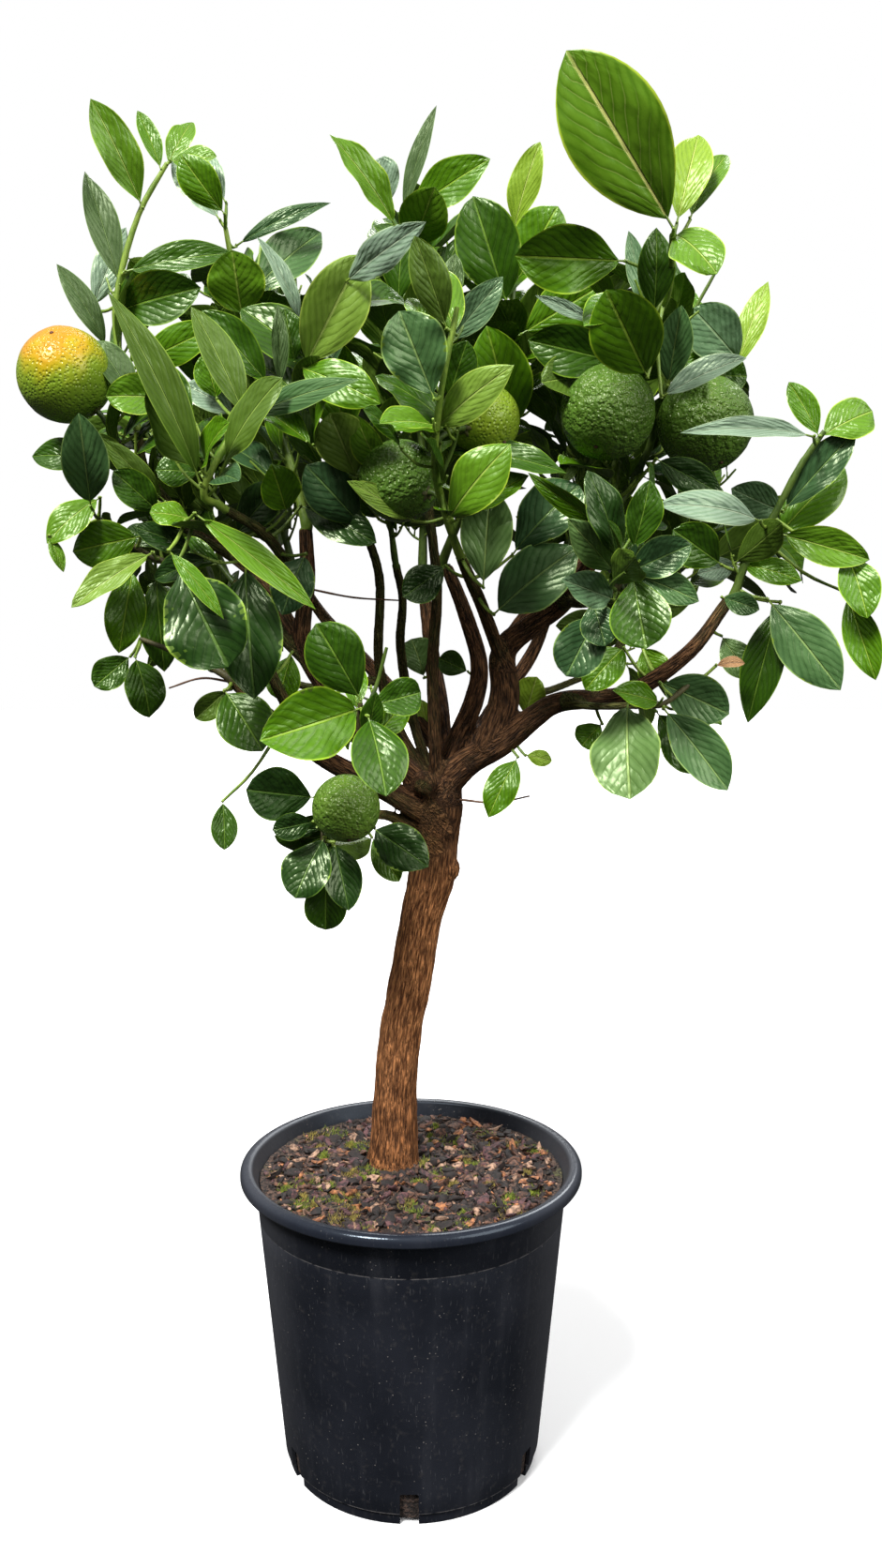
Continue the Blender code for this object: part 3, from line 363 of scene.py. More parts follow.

# %% The leaves that show
# Leaves with a place of their own: foot, tip, width, roll in degrees and kind.
# Leaves of the pale blue-green kind have painted sheen as their colour.
SHOWN_LEAVES = (
    # Crown left, top.
    ((-178, 0, 892), (-206, -20, 955), 26, 15, "fresh"),
    ((-165, 0, 916), (-182, 10, 958), 13, 10, "green"),
    ((-161, 0, 919), (-147, 20, 954), 16, 25, "fresh"),
    ((-159, 0, 922), (-126, -10, 922), 18, 32, "fresh"),
    ((-126, 0, 884), (-162, 20, 932), 20, 10, "painted_sheen"),
    ((-120, -20, 883), (-147, -30, 918), 23, -12, "green"),
    ((-122, 0, 895), (-149, 20, 937), 19, 10, "painted_sheen"),
    ((-195, 0, 842), (-219, 10, 920), 20, 12, "dull"),
    ((-205, 0, 801), (-235, -10, 855), 18, 10, "dull"),
    ((-189, -10, 849), (-114, -10, 861), 21, 16, "dark"),
    ((-197, 0, 826), (-136, -20, 837), 33, 14, "dark"),
    ((-180, -10, 790), (-122, -30, 811), 24, 0, "green"),
    ((-107, -40, 814), (-110, -60, 851), 34, 0, "fresh"),
    ((-119, 20, 873), (-52, 20, 902), 13, 25, "greydark"),
    ((-112, 10, 837), (-61, 40, 888), 31, 0, "grey"),
    ((-121, -130, 700), (-166, -160, 805), 23, 5, "olive"),
    ((-95, -120, 739), (-126, -120, 804), 23, 10, "olive"),
    ((-84, -90, 763), (-125, -90, 808), 24, -5, "dark"),
    ((-76, -100, 761), (-77, -100, 810), 10, 10, "dull"),
    ((-68, -90, 776), (-74, -90, 809), 17, 0, "dark"),
    ((-65, -80, 801), (-91, -90, 852), 12, 30, "painted_sheen"),
    ((-61, -110, 770), (-25, -120, 834), 37, -5, "lime"),
    ((-35, -120, 817), (14, -160, 841), 20, 10, "painted_sheen"),
    ((-93, -130, 738), (-23, -170, 754), 17, 25, "grey"),
    ((-64, -110, 771), (-13, -130, 746), 26, 0, "green"),
    ((-155, -40, 762), (-193, -60, 761), 26, 0, "fresh"),
    ((-108, -70, 748), (-141, -70, 767), 20, 0, "painted_sheen"),
    ((-118, -80, 756), (-125, -80, 784), 19, 0, "green"),
    ((-182, -30, 762), (-207, -30, 802), 22, 10, "dull"),
    ((-219, 20, 831), (-198, 40, 892), 20, 0, "painted_sheen"),
    # Left, middle and low.
    ((-207, -50, 693), (-205, -80, 749), 29, 0, "grey"),
    ((-207, -10, 726), (-260, 0, 730), 22, 15, "dark"),
    ((-160, -40, 696), (-197, -60, 736), 16, 15, "olive"),
    ((-203, -40, 699), (-236, -55, 668), 23, 12, "fresh"),
    ((-234, -54, 674), (-224, -58, 650), 9, 10, "fresh"),
    ((-177, -40, 674), (-223, -40, 664), 30, 5, "green"),
    ((-167, -50, 663), (-217, -70, 627), 21, 20, "lime"),
    ((-183, -40, 653), (-192, -50, 596), 26, 5, "green"),
    ((-174, -10, 650), (-170, -10, 582), 27, 0, "dark"),
    ((-193, -10, 594), (-217, -20, 573), 21, 0, "dark"),
    ((-188, -20, 594), (-179, -20, 551), 27, 0, "dark"),
    ((-129, -110, 680), (-154, -120, 684), 22, 30, "fresh"),
    ((-138, -120, 654), (-105, -140, 592), 50, 0, "deep"),
    ((-101, -90, 655), (-94, -110, 570), 39, 0, "deep"),
    ((-125, -130, 683), (-53, -130, 626), 17, 20, "fresh"),
    ((-139, -140, 661), (-105, -150, 620), 11, 20, "green"),
    ((-112, -60, 673), (-81, -70, 706), 25, 0, "deep"),
    ((-77, -70, 688), (-84, -90, 716), 25, -10, "green"),
    ((-29, -60, 679), (-64, -80, 717), 30, 0, "greydark"),
    ((-70, -50, 693), (-19, -70, 668), 26, 10, "deep"),
    ((4, -90, 681), (-36, -110, 704), 14, 10, "lime"),
    ((-66, -60, 662), (-81, -70, 622), 26, 0, "greydark"),
    ((-163, -50, 689), (-190, -60, 715), 22, 0, "dark"),
    ((-133, -60, 713), (-160, -70, 714), 20, 10, "dark"),
    ((-31, -80, 708), (-47, -90, 747), 31, 0, "lime"),
    ((-13, -80, 711), (-31, -90, 746), 20, -30, "fresh"),
    ((-123, -30, 572), (-146, -30, 552), 17, 0, "olive"),
    ((-119, -70, 574), (-92, -90, 536), 34, 0, "dark"),
    ((-77, -50, 598), (-85, -60, 567), 22, 0, "green"),
    ((-27, -130, 567), (-84, -170, 551), 40, 0, "green"),
    ((-27, -130, 572), (-52, -150, 619), 33, 0, "dark"),
    ((-22, -130, 568), (10, -120, 576), 23, 0, "dark"),
    ((-22, -140, 563), (-10, -170, 518), 32, 0, "dark"),
    ((-60, -80, 505), (-102, -100, 513), 33, 0, "deep"),
    ((-54, -80, 479), (-72, -100, 442), 31, 0, "deep"),
    ((-48, -80, 476), (-38, -90, 432), 25, 0, "deep"),
    ((-54, -70, 454), (-55, -70, 414), 27, 0, "dark"),
    ((-24, -60, 482), (14, -80, 459), 29, 0, "deep"),
    ((-120, -80, 503), (-118, -90, 472), 16, 0, "dark"),
    ((-25, -50, 474), (-6, -60, 445), 19, 0, "fresh"),
    ((-60, -90, 491), (-86, -100, 487), 17, 0, "deep"),
    # Centre, top.
    ((-9, 20, 885), (-53, 0, 940), 24, 22, "fresh"),
    ((-5, 20, 892), (19, 20, 965), 12, 25, "dull"),
    ((-13, 40, 907), (-22, 40, 937), 23, 0, "painted_sheen"),
    ((0, 20, 895), (55, 0, 924), 28, 15, "green"),
    ((2, 10, 870), (18, -30, 898), 31, 0, "fresh"),
    ((25, -150, 785), (7, -170, 831), 21, 5, "olive"),
    ((27, -60, 813), (31, -60, 849), 15, 0, "dull"),
    ((66, -20, 825), (42, -30, 893), 40, 0, "dark"),
    ((71, 10, 880), (88, 0, 935), 21, 12, "young"),
    ((73, 0, 845), (100, -10, 892), 33, 0, "green"),
    ((129, -130, 827), (63, -150, 825), 35, 0, "green"),
    ((26, -80, 790), (60, -90, 828), 19, 0, "greylight"),
    ((-7, 0, 829), (-2, 0, 882), 26, 0, "dark"),
    ((18, -150, 746), (-2, -160, 793), 36, 0, "grey"),
    ((68, -40, 738), (50, -70, 804), 37, 0, "green"),
    ((19, -130, 732), (64, -160, 764), 23, 15, "lime"),
    ((26, -80, 756), (38, -90, 790), 22, 0, "dark"),
    ((135, -60, 782), (76, -60, 796), 31, 0, "dark"),
    ((73, -50, 801), (123, -60, 829), 31, 0, "green"),
    ((114, -120, 794), (77, -120, 810), 8, 10, "painted_sheen"),
    ((146, -110, 765), (116, -140, 810), 40, 0, "green"),
    ((116, -50, 775), (85, -70, 768), 26, 0, "olive"),
    ((26, -130, 679), (63, -150, 722), 30, 0, "fresh"),
    ((19, -90, 725), (99, -110, 708), 22, 25, "dark"),
    ((48, -100, 640), (53, -90, 701), 31, 5, "pale"),
    ((68, -60, 661), (112, -60, 706), 36, 8, "greydark"),
    ((56, -66, 623), (110, -72, 666), 39, 10, "grey"),
    ((122, -110, 676), (73, -130, 707), 13, -25, "green"),
    ((25, -50, 654), (-3, -70, 634), 23, 0, "deep"),
    # Right.
    ((150, -170, 834), (87, -190, 920), 52, 0, "huge"),
    ((153, -160, 839), (168, -140, 894), 23, 5, "young"),
    ((162, -150, 844), (187, -130, 886), 18, 15, "fresh"),
    ((152, -160, 834), (171, -190, 805), 27, 10, "fresh"),
    ((146, -130, 797), (145, -140, 844), 20, 0, "dark"),
    ((149, -80, 807), (137, -80, 857), 14, 0, "greylight"),
    ((165, -70, 766), (169, -90, 811), 22, 0, "grey"),
    ((219, -30, 787), (184, -40, 820), 32, 0, "greylight"),
    ((158, -90, 756), (208, -100, 778), 19, 20, "painted_sheen"),
    ((227, 20, 790), (250, 30, 853), 18, 10, "young"),
    ((205, -20, 780), (226, -20, 780), 19, 0, "dark"),
    ((250, -100, 731), (157, -160, 726), 14, 20, "painted_sheen"),
    ((259, -80, 733), (240, -74, 768), 17, 25, "green"),
    ((259, -80, 733), (294, -74, 750), 27, 12, "fresh"),
    ((240, -70, 688), (282, -80, 737), 24, 0, "greydark"),
    ((239, -60, 672), (286, -50, 718), 30, 0, "green"),
    ((239, -70, 674), (295, -80, 657), 24, 10, "fresh"),
    ((282, -70, 662), (291, -90, 620), 25, 0, "green"),
    ((283, -70, 637), (301, -80, 581), 21, 0, "green"),
    ((232, -70, 633), (276, -90, 575), 33, 0, "grey"),
    ((243, -60, 631), (224, -60, 551), 25, 0, "dark"),
    ((216, -60, 655), (252, -80, 644), 17, 30, "green"),
    ((205, -60, 634), (225, -80, 626), 15, 10, "grey"),
    ((253, -20, 691), (215, -30, 706), 23, 0, "greylight"),
    ((219, -100, 680), (148, -130, 688), 22, 15, "painted_sheen"),
    ((160, -60, 722), (201, -70, 699), 21, 0, "deep"),
    ((204, -60, 655), (170, -70, 677), 28, 0, "dark"),
    ((220, -30, 656), (192, -40, 649), 16, 0, "painted_sheen"),
    ((136, -120, 649), (172, -130, 665), 24, 0, "greydark"),
    ((127, -120, 649), (95, -150, 679), 21, 0, "pale"),
    ((127, -120, 632), (92, -150, 644), 21, 0, "greylight"),
    ((114, -120, 631), (121, -130, 604), 23, 0, "greydark"),
    ((138, -120, 647), (144, -140, 603), 35, 0, "dark"),
    ((137, -120, 648), (177, -130, 631), 19, 10, "grey"),
    ((120, -110, 625), (98, -120, 585), 31, 0, "greydark"),
    ((143, -50, 601), (116, -60, 573), 25, 0, "green"),
    ((158, -30, 601), (172, -30, 575), 22, 0, "fresh"),
    ((142, -80, 567), (139, -120, 509), 42, 0, "pale"),
    ((165, -80, 563), (204, -100, 512), 30, 0, "grey"),
    ((164, -70, 579), (208, -80, 559), 30, 5, "grey"),
    ((165, -50, 559), (195, -50, 516), 25, 0, "dark"),
    ((207, -50, 609), (225, -60, 581), 20, 0, "pale"),
    ((133, -20, 548), (119, -20, 532), 21, 0, "green"),
    ((198, -78, 590), (217, -80, 592), 9, 35, "dry"),
    # Behind and inside.
    ((9, 80, 574), (-1, 80, 604), 26, 0, "pale"),
    ((42, 50, 580), (20, 50, 590), 19, 0, "dark"),
    ((84, 50, 546), (92, 40, 577), 25, 0, "young"),
    ((12, 50, 527), (7, 50, 560), 14, 0, "young"),
    ((75, -20, 525), (54, -30, 483), 22, 0, "green"),
    ((80, -20, 526), (99, -20, 522), 11, 0, "young"),
)

# %% The crown's shape from the front
# Rings of (x, z) on the upright plane through the trunk. What the rule grows stays inside them as
# seen from the front, so the sky shows where it should.
CROWN_SHAPE = (
    ((-205, 801), (-206, 818), (-197, 845), (-187, 868), (-171, 871), (-124, 868), (-92, 868),
     (-67, 868), (-70, 845), (-61, 845), (-43, 868), (-26, 882), (-10, 903), (3, 911), (21, 906),
     (40, 901), (62, 885), (73, 868), (88, 879), (102, 892), (105, 876), (141, 868), (163, 868),
     (180, 868), (189, 845), (196, 830), (213, 818), (220, 799), (230, 787), (233, 765),
     (232, 734), (211, 723), (215, 706), (235, 690), (243, 693), (257, 709), (267, 699),
     (265, 664), (269, 645), (264, 606), (247, 632), (220, 642), (201, 642), (185, 619),
     (166, 600), (143, 600), (133, 577), (107, 583), (95, 606), (103, 632), (83, 658), (67, 658),
     (47, 671), (28, 684), (2, 674), (-24, 684), (-40, 671), (-66, 693), (-70, 658), (-77, 619),
     (-90, 567), (-101, 531), (-124, 547), (-130, 574), (-169, 593), (-183, 550), (-202, 574),
     (-195, 600), (-204, 632), (-232, 658), (-224, 693), (-192, 696), (-198, 722), (-242, 731),
     (-229, 753), (-209, 765)),
    ((-104, 531), (-90, 567), (-64, 606), (-31, 593), (5, 564), (-15, 500), (-61, 514)),
    ((133, 564), (176, 593), (219, 567), (224, 500), (197, 521), (171, 504), (141, 500)),
    ((-113, 514), (-72, 494), (-22, 484), (11, 446), (-36, 426), (-59, 398), (-86, 426), (-99, 470)),
    ((258, 684), (301, 734), (300, 687), (320, 658), (326, 600), (301, 574), (271, 600), (256, 632)),
)


# %% [markdown]
# ## The growing rule
#
# Citrus twigs leave a stem in a spiral, each about 137.5 degrees on from the last, so that no leaf
# shades the one under it. The rule below does the same, step by step as the solids' source does.
# It draws its numbers from a seeded generator and skips what would cut another twig or leaf.
# Leaves that show each have a place in the table, and the rule fills the room behind them.

# %% The rule's sizes
GOLDEN_ANGLE = math.radians(137.5)
CROWN_CENTRE = (15, 20, 660)
FRONT = (22, -943, 630)         # the leaves of the table face this way, with the camera
STEM_TIP_RADIUS = 3.2
TWIG_RADIUS = 2.0
TWIG_TIP_RADIUS = 1.8
TWIG_SIDES = 3
LEAVES_A_TWIG = 3
TRIES = 12
LEAF_RIB = 0.022                # thickness at the midrib for each unit of length
LEAF_FOLD = math.radians(11)
CLEARANCE = 1.0                 # kept from anything that a twig or leaf doesn't grow on
STALK_RADII = (2.2, 2.4)        # of a fruit's stalk, in the coarse growth
SHOWN_WIDER = 1.12              # a folded, slanting blade is wider than it looks in the table
SPUR_FROM = 1.5                 # a leaf closer than this to wood needs no spur

# How leaves sit on a piece of wood: where along it they start and over what part of it, how far
# they spread in degrees, the last one and the others, how they swing from the spiral, sink and
# face up, how long they are next to the mass's own, how slim, rolled and bent. The last two say
# how a leaf is tested: how thick it is taken, and which points of it keep to the mass's space.
Habit = namedtuple("Habit", "start span last_spread spread swing sink light scale size slim roll "
                            "droop rib checks")
TWIG_HABIT = Habit(start=0.32, span=0.68, last_spread=8, spread=(50, 68), swing=0.9, sink=0.12,
                   light=0.5, scale=1, size=(0.78, 1.12), slim=(0.46, 0.58), roll=0.5,
                   droop=(0.2, 0.75), rib=2.0, checks=(1.0, 0.6))

Leaf = namedtuple("Leaf", "foot way up side length width droop kind", defaults=(None,))
Solid = namedtuple("Solid", "mass kind centre reach tree")
Twig = namedtuple("Twig", "path radii kind")

# %% Paths and tubes
def smooth_path(points, per_span):
    """Points along a Catmull-Rom curve that passes through the given ones."""
    ends = [2 * points[0] - points[1]] + list(points) + [2 * points[-1] - points[-2]]
    path = []
    for a, b, c, d in zip(ends, ends[1:], ends[2:], ends[3:]):
        for step in range(per_span):
            t = step / per_span
            path.append(0.5 * (2 * b + (c - a) * t + (2 * a - 5 * b + 4 * c - d) * t ** 2
                               + (3 * b - a - 3 * c + d) * t ** 3))
    path.append(points[-1].copy())
    return path


def place_on(path, fraction):
    """The point at a fraction of a path's length, and the path's direction there."""
    lengths = [(b - a).length for a, b in zip(path, path[1:])]
    left = fraction * sum(lengths)
    for a, b, length in zip(path, path[1:], lengths):
        if left <= length:
            break
        left -= length
    return a.lerp(b, min(left / length, 1.0)), (b - a).normalized()


def nearest_on(path, point):
    """The nearest point of a path, and its distance."""
    best, reach = path[0], (path[0] - point).length
    for a, b in zip(path, path[1:]):
        run = b - a
        t = min(max((point - a).dot(run) / run.length_squared, 0.0), 1.0)
        spot = a + run * t
        if (spot - point).length < reach:
            best, reach = spot, (spot - point).length
    return best, reach


def tapered(count, first, last):
    """Radii in metres from first to last, in millimetres, over a number of rings."""
    return [(first + (last - first) * i / (count - 1)) * MM for i in range(count)]


def tube(path, radii, sides, extra=0.0):
    """A closed tube of rings round a path, as vertices and faces."""
    verts, faces = [], []
    across = None
    for i, point in enumerate(path):
        ahead = (path[min(i + 1, len(path) - 1)] - path[max(i - 1, 0)]).normalized()
        if across is None:
            across = ahead.orthogonal()
        across = (across - ahead * across.dot(ahead)).normalized()
        other = ahead.cross(across)
        for j in range(sides):
            turn = math.tau * j / sides
            out = across * math.cos(turn) + other * math.sin(turn)
            verts.append(point + out * (radii[i] + extra))
    for i in range(len(path) - 1):
        for j in range(sides):
            a, b = i * sides + j, i * sides + (j + 1) % sides
            faces.append((a, b, b + sides, a + sides))
    faces.append(tuple(reversed(range(sides))))
    faces.append(tuple(range(len(verts) - sides, len(verts))))
    return verts, faces


# %% The limbs' paths
def trunk_path():
    """The trunk's rings: its path and radii, through the points of the table."""
    path = smooth_path([mm(point) for point, _ in TRUNK], 2)
    path[1].xy = path[0].xy     # so that the cut at the foot is level
    radii = []
    for (_, here), (_, above) in zip(TRUNK, TRUNK[1:]):
        radii += [here * MM, (here + above) / 2 * MM]
    radii.append(TRUNK[-1][1] * MM)
    return path, radii


def limb_paths():
    """The path and radii of the trunk and of every bough, parents before their branches."""
    limbs = {"trunk": trunk_path()}
    for name, (parent, along, points, first, last) in BOUGHS.items():
        start, _ = place_on(limbs[parent][0], along)
        path = smooth_path([start] + [mm(point) for point in points], 1)
        limbs[name] = path, tapered(len(path), first, last)
    return limbs


def limb_sides(name):
    return TRUNK_SIDES if name == "trunk" else BOUGH_SIDES


# %% A leaf's frame and its coarse stand-in
def blade_width(along):
    """A leaf's half width as a share of its widest, from foot (0) to tip (1)."""
    return math.sin(math.pi * min(max(along, 0.0), 1.0) ** 0.9) ** 0.8


def make_leaf(foot, way, light, length, width, roll=0.0, droop=0.35):
    """A leaf's frame: it turns its upper face to the light, then rolls about its midrib."""
    way = way.normalized()
    side = way.cross(light)
    if side.length < 0.05:
        side = way.orthogonal()
    side = Matrix.Rotation(roll, 3, way) @ side.normalized()
    return Leaf(foot, way, side.cross(way), side, length, width, droop)


def leaf_point(leaf, along, across, lift):
    """A point of a leaf: along its midrib, across to an edge (-1 or 1), and lifted off it."""
    bend = leaf.droop * (along - 0.5)
    turn = math.sin(bend) / leaf.droop
    chord = math.sin(leaf.droop / 2) / leaf.droop
    sag = (math.cos(bend) - math.cos(leaf.droop / 2)) / leaf.droop
    up = leaf.up * math.cos(bend) + leaf.way * math.sin(bend)
    half = leaf.width / 2 * blade_width(along) * across
    middle = leaf.foot + (leaf.way * (chord + turn) + leaf.up * sag) * leaf.length
    off = leaf.side * half * math.cos(LEAF_FOLD)
    return middle + off + up * (abs(half) * math.sin(LEAF_FOLD) + lift)


def leaf_solid(leaf, rib=1.0):
    """A leaf of twelve faces: a point at its foot, two three-cornered sections and its tip."""
    thick = leaf.length * LEAF_RIB * rib
    verts = [leaf_point(leaf, 0.14, 0, 0.0)]
    for along in (0.32, 0.70):
        verts += [leaf_point(leaf, along, side, 0.0) for side in (-1, 1)]
        verts.append(leaf_point(leaf, along, 0, -thick))
    verts.append(leaf_point(leaf, 1.0, 0, 0.0))
    faces = []
    for a, b in ((1, 2), (2, 3), (3, 1)):
        faces += [(0, b, a), (a, b, b + 3), (a, b + 3, a + 3), (a + 3, b + 3, 7)]
    return verts, faces


# %% The crown as it grows
LEAF_SPOTS = ((0.25, 0), (0.5, -0.9), (0.5, 0.9), (0.6, 0), (0.8, 0), (1.0, 0))


def inside(ring, x, z):
    """True where a place lies in a ring of corners."""
    hit = False
    for (x0, z0), (x1, z1) in zip(ring, ring[1:] + ring[:1]):
        if (z0 > z) != (z1 > z) and x < x0 + (x1 - x0) * (z - z0) / (z1 - z0):
            hit = not hit
    return hit


def ball(centre, radius, rounds):
    """A round solid of triangles, as vertices and faces."""
    work = bmesh.new()
    bmesh.ops.create_icosphere(work, subdivisions=rounds, radius=radius)
    verts = [vert.co + centre for vert in work.verts]
    faces = [tuple(vert.index for vert in face.verts) for face in work.faces]
    work.free()
    return verts, faces


class Crown:
    """Everything that has grown so far, and the test that keeps new growth clear of it."""

    def __init__(self, limbs):
        self.limbs = limbs
        self.solids = []
        self.leaves = {name: [] for name in MASSES}
        self.twigs = {name: [] for name in MASSES}
        self.stems = {}
        self.rng = random.Random(3)
        for name, (path, radii) in limbs.items():
            self.remember(name, "limb", tube(path, radii, limb_sides(name), CLEARANCE * MM))

    def remember(self, mass, kind, shape):
        """Keeps a shape that later growth has to stay clear of."""
        verts, faces = shape
        centre = sum(verts, Vector()) / len(verts)
        reach = max((vert - centre).length for vert in verts)
        self.solids.append(Solid(mass, kind, centre, reach, BVHTree.FromPolygons(verts, faces)))

    def blocked(self, shape, skip):
        """True where a shape would cut something it doesn't grow on."""
        verts, faces = shape
        centre = sum(verts, Vector()) / len(verts)
        reach = max((vert - centre).length for vert in verts)
        tree = BVHTree.FromPolygons(verts, faces)
        for solid in self.solids:
            if (solid.mass, solid.kind) in skip:
                continue
            if (solid.centre - centre).length < solid.reach + reach and tree.overlap(solid.tree):
                return True
        return False

    def own_space(self, mass, point):
        """True where a point is nearer to its own mass's stem than to any other stem."""
        _, own = nearest_on(self.stems[mass], point)
        if own > MASSES[mass].reach * MM:
            return False
        return all(nearest_on(stem, point)[1] > own for name, stem in self.stems.items()
                   if name != mass)

    def free_part(self, path, radii):
        """A twig's tube, a little fat, without the stretch that sits in the stem."""
        start = path[0].lerp(path[1], 0.2)
        return tube([start] + path[1:], radii, TWIG_SIDES, CLEARANCE * MM)

    def add_stem(self, mass):
        """A mass's stem, starting clear of the tip of the limb that bears it."""
        spec = MASSES[mass]
        limb, limb_radii = self.limbs[spec.limb]
        ahead = (limb[-1] - limb[-2]).normalized()
        start = limb[-1] + ahead * GAP * MM
        path = smooth_path([start, start + ahead * 6 * MM] + [mm(point) for point in spec.stem], 1)
        radii = tapered(len(path), limb_radii[-1] / MM, STEM_TIP_RADIUS)
        self.stems[mass] = path
        self.add_twig(mass, path, radii, "stem")

    def add_twig(self, mass, path, radii, kind):
        self.twigs[mass].append(Twig(path, radii, kind))
        self.remember(mass, "twig", tube(path, radii, TWIG_SIDES, CLEARANCE * MM))

    def add_leaf(self, mass, leaf):
        self.leaves[mass].append(leaf)
        self.remember(mass, "leaf", leaf_solid(leaf))

    def hold(self, fruit):
        """The nearest point of its mass's stem to a fruit, and the way there from its centre."""
        spot, _ = nearest_on(self.stems[fruit.mass], mm(fruit.centre))
        return spot, (spot - mm(fruit.centre)).normalized()

    def add_fruit(self, fruit):
        """A fruit on a short stalk from its mass's stem."""
        centre, radius = mm(fruit.centre), fruit.radius * MM
        spot, hold = self.hold(fruit)
        end = centre + hold * (radius - 4 * MM)
        self.remember(fruit.mass, "fruit", ball(centre, radius + CLEARANCE * MM, 2))
        path = [spot, spot.lerp(end, 0.5) + UP * 2 * MM, end]
        self.add_twig(fruit.mass, path, tapered(3, *STALK_RADII), "stalk")

    def add_shown_leaf(self, foot, tip, width, roll, kind):
        """A leaf with a place of its own, on a spur from the nearest stem."""
        foot, tip = mm(foot), mm(tip)
        mass = min(self.stems, key=lambda name: nearest_on(self.stems[name], foot)[1])
        wood = [self.stems[mass]] + [path for path, _ in self.limbs.values()]
        spot, away = min((nearest_on(path, foot) for path in wood), key=lambda found: found[1])
        droop = 0.2 + 0.6 * self.rng.random()
        lean = -1 if tip.x > foot.x else 1      # so that a roll turns the face up, to the light
        roll = math.radians(lean * (roll + self.rng.uniform(-6, 20)))
        leaf = make_leaf(foot, tip - foot, mm(FRONT) - foot, (tip - foot).length,
                         SHOWN_WIDER * width * MM, roll, droop)
        if away > SPUR_FROM * MM:
            path = [spot, spot.lerp(foot, 0.5) - UP * away * 0.08,
                    foot + (foot - spot).normalized() * MM]
            self.add_twig(mass, path, tapered(3, TWIG_RADIUS, TWIG_TIP_RADIUS), "spur")
        self.add_leaf(mass, leaf._replace(kind=kind))

    def look(self):
        """Gathers what has to stay in view: the fruit, and the leaves placed so far."""
        verts, faces = [], []
        shapes = [leaf_solid(leaf) for leaves in self.leaves.values() for leaf in leaves]
        shapes += [ball(mm(fruit.centre), fruit.radius * MM, 2) for fruit in FRUITS]
        for points, sides in shapes:
            faces += [tuple(len(verts) + index for index in side) for side in sides]
            verts += points
        self.shown = BVHTree.FromPolygons(verts, faces)

    def fits(self, leaf):
        """True where a leaf stays in the crown's shape and covers nothing that has to show."""
        eye = mm(FRONT)
        for along, across in LEAF_SPOTS:
            point = leaf_point(leaf, along, across, 0.0)
            sight = point - eye
            spot = eye + sight * (-eye.y / sight.y)
            if not any(inside(ring, spot.x / MM, spot.z / MM) for ring in CROWN_SHAPE):
                return False
            if self.shown.ray_cast(point, sight.normalized())[0]:
                return False
        return True

    def grow_twigs(self, mass, rng):
        """Twigs spiral off the stem by the golden angle, each bending out and up to the light."""
        spec = MASSES[mass]
        stem = self.stems[mass]
        for count in range(spec.twigs):
            for _ in range(TRIES):
                along = 0.25 + 0.75 * (count + rng.random()) / spec.twigs
                start, ahead = place_on(stem, min(along, 0.99))
                turn = Matrix.Rotation(GOLDEN_ANGLE * count + rng.uniform(-0.6, 0.6), 3, ahead)
                out = turn @ ahead.orthogonal().normalized()
                outward = (start - mm(CROWN_CENTRE)).normalized()
                way = (out + ahead * 0.5 + outward * 0.5 + UP * 0.15).normalized()
                length = spec.reach * rng.uniform(0.45, 0.75) * MM
                bend = way + (outward + UP * 0.5) * 0.35
                path = [start, start + way * length * 0.5, start + bend.normalized() * length]
                radii = tapered(3, TWIG_RADIUS, TWIG_TIP_RADIUS)
                shape = self.free_part(path, radii)
                if self.own_space(mass, path[-1]) and not self.blocked(shape, {(mass, "twig")}):
                    if self.grow_leaves(mass, path, rng, TWIG_HABIT, count):
                        self.add_twig(mass, path, radii, "twig")
                    break

    def grow_leaves(self, mass, path, rng, habit, first=0, start=0.0):
        """Leaves spiral up a piece of wood, and the last one carries on from its end."""
        grown = False
        for count in range(LEAVES_A_TWIG):
            last = count == LEAVES_A_TWIG - 1
            foot, ahead = place_on(path, habit.start + habit.span * count / (LEAVES_A_TWIG - 1))
            for _ in range(TRIES):
                spread = math.radians(habit.last_spread if last else rng.uniform(*habit.spread))
                turn = GOLDEN_ANGLE * (count + first) + start
                turn += rng.uniform(-habit.swing, habit.swing)
                out = Matrix.Rotation(turn, 3, ahead) @ ahead.orthogonal().normalized()
                way = ahead * math.cos(spread) + out * math.sin(spread) - UP * habit.sink
                light = (foot - mm(CROWN_CENTRE)).normalized() + UP * habit.light
                length = MASSES[mass].leaf * habit.scale * rng.uniform(*habit.size) * MM
                leaf = make_leaf(foot, way, light, length, length * rng.uniform(*habit.slim),
                                 rng.uniform(-habit.roll, habit.roll), rng.uniform(*habit.droop))
                spots = [leaf_point(leaf, along, 0, 0.0) for along in habit.checks]
                if (all(self.own_space(mass, spot) for spot in spots) and self.fits(leaf)
                        and not self.blocked(leaf_solid(leaf, habit.rib), {(mass, "twig")})):
                    self.add_leaf(mass, leaf)
                    grown = True
                    break
        return grown


def grow_crown(limbs):
    """Stems and fruit come first, then the leaves that show, and the rule fills what is free."""
    crown = Crown(limbs)
    for mass in MASSES:
        crown.add_stem(mass)
    for fruit in FRUITS:
        crown.add_fruit(fruit)
    for row in SHOWN_LEAVES:
        crown.add_shown_leaf(*row)
    crown.look()
    for seed, mass in enumerate(MASSES):
        crown.grow_twigs(mass, random.Random(seed))
    return crown


# %% Grow the coarse crown
limbs = limb_paths()
crown = grow_crown(limbs)
print("leaves of the coarse crown:", sum(len(leaves) for leaves in crown.leaves.values()))


# %% [markdown]
# ## Finer growth
#
# The coarse crown has only as many leaves as collisions can afford. A real crown is denser: short
# side shoots stand between the twigs, and their leaves are smaller. They follow the same spiral
# and keep to the same spaces, so the outline stays and only its inside fills up.

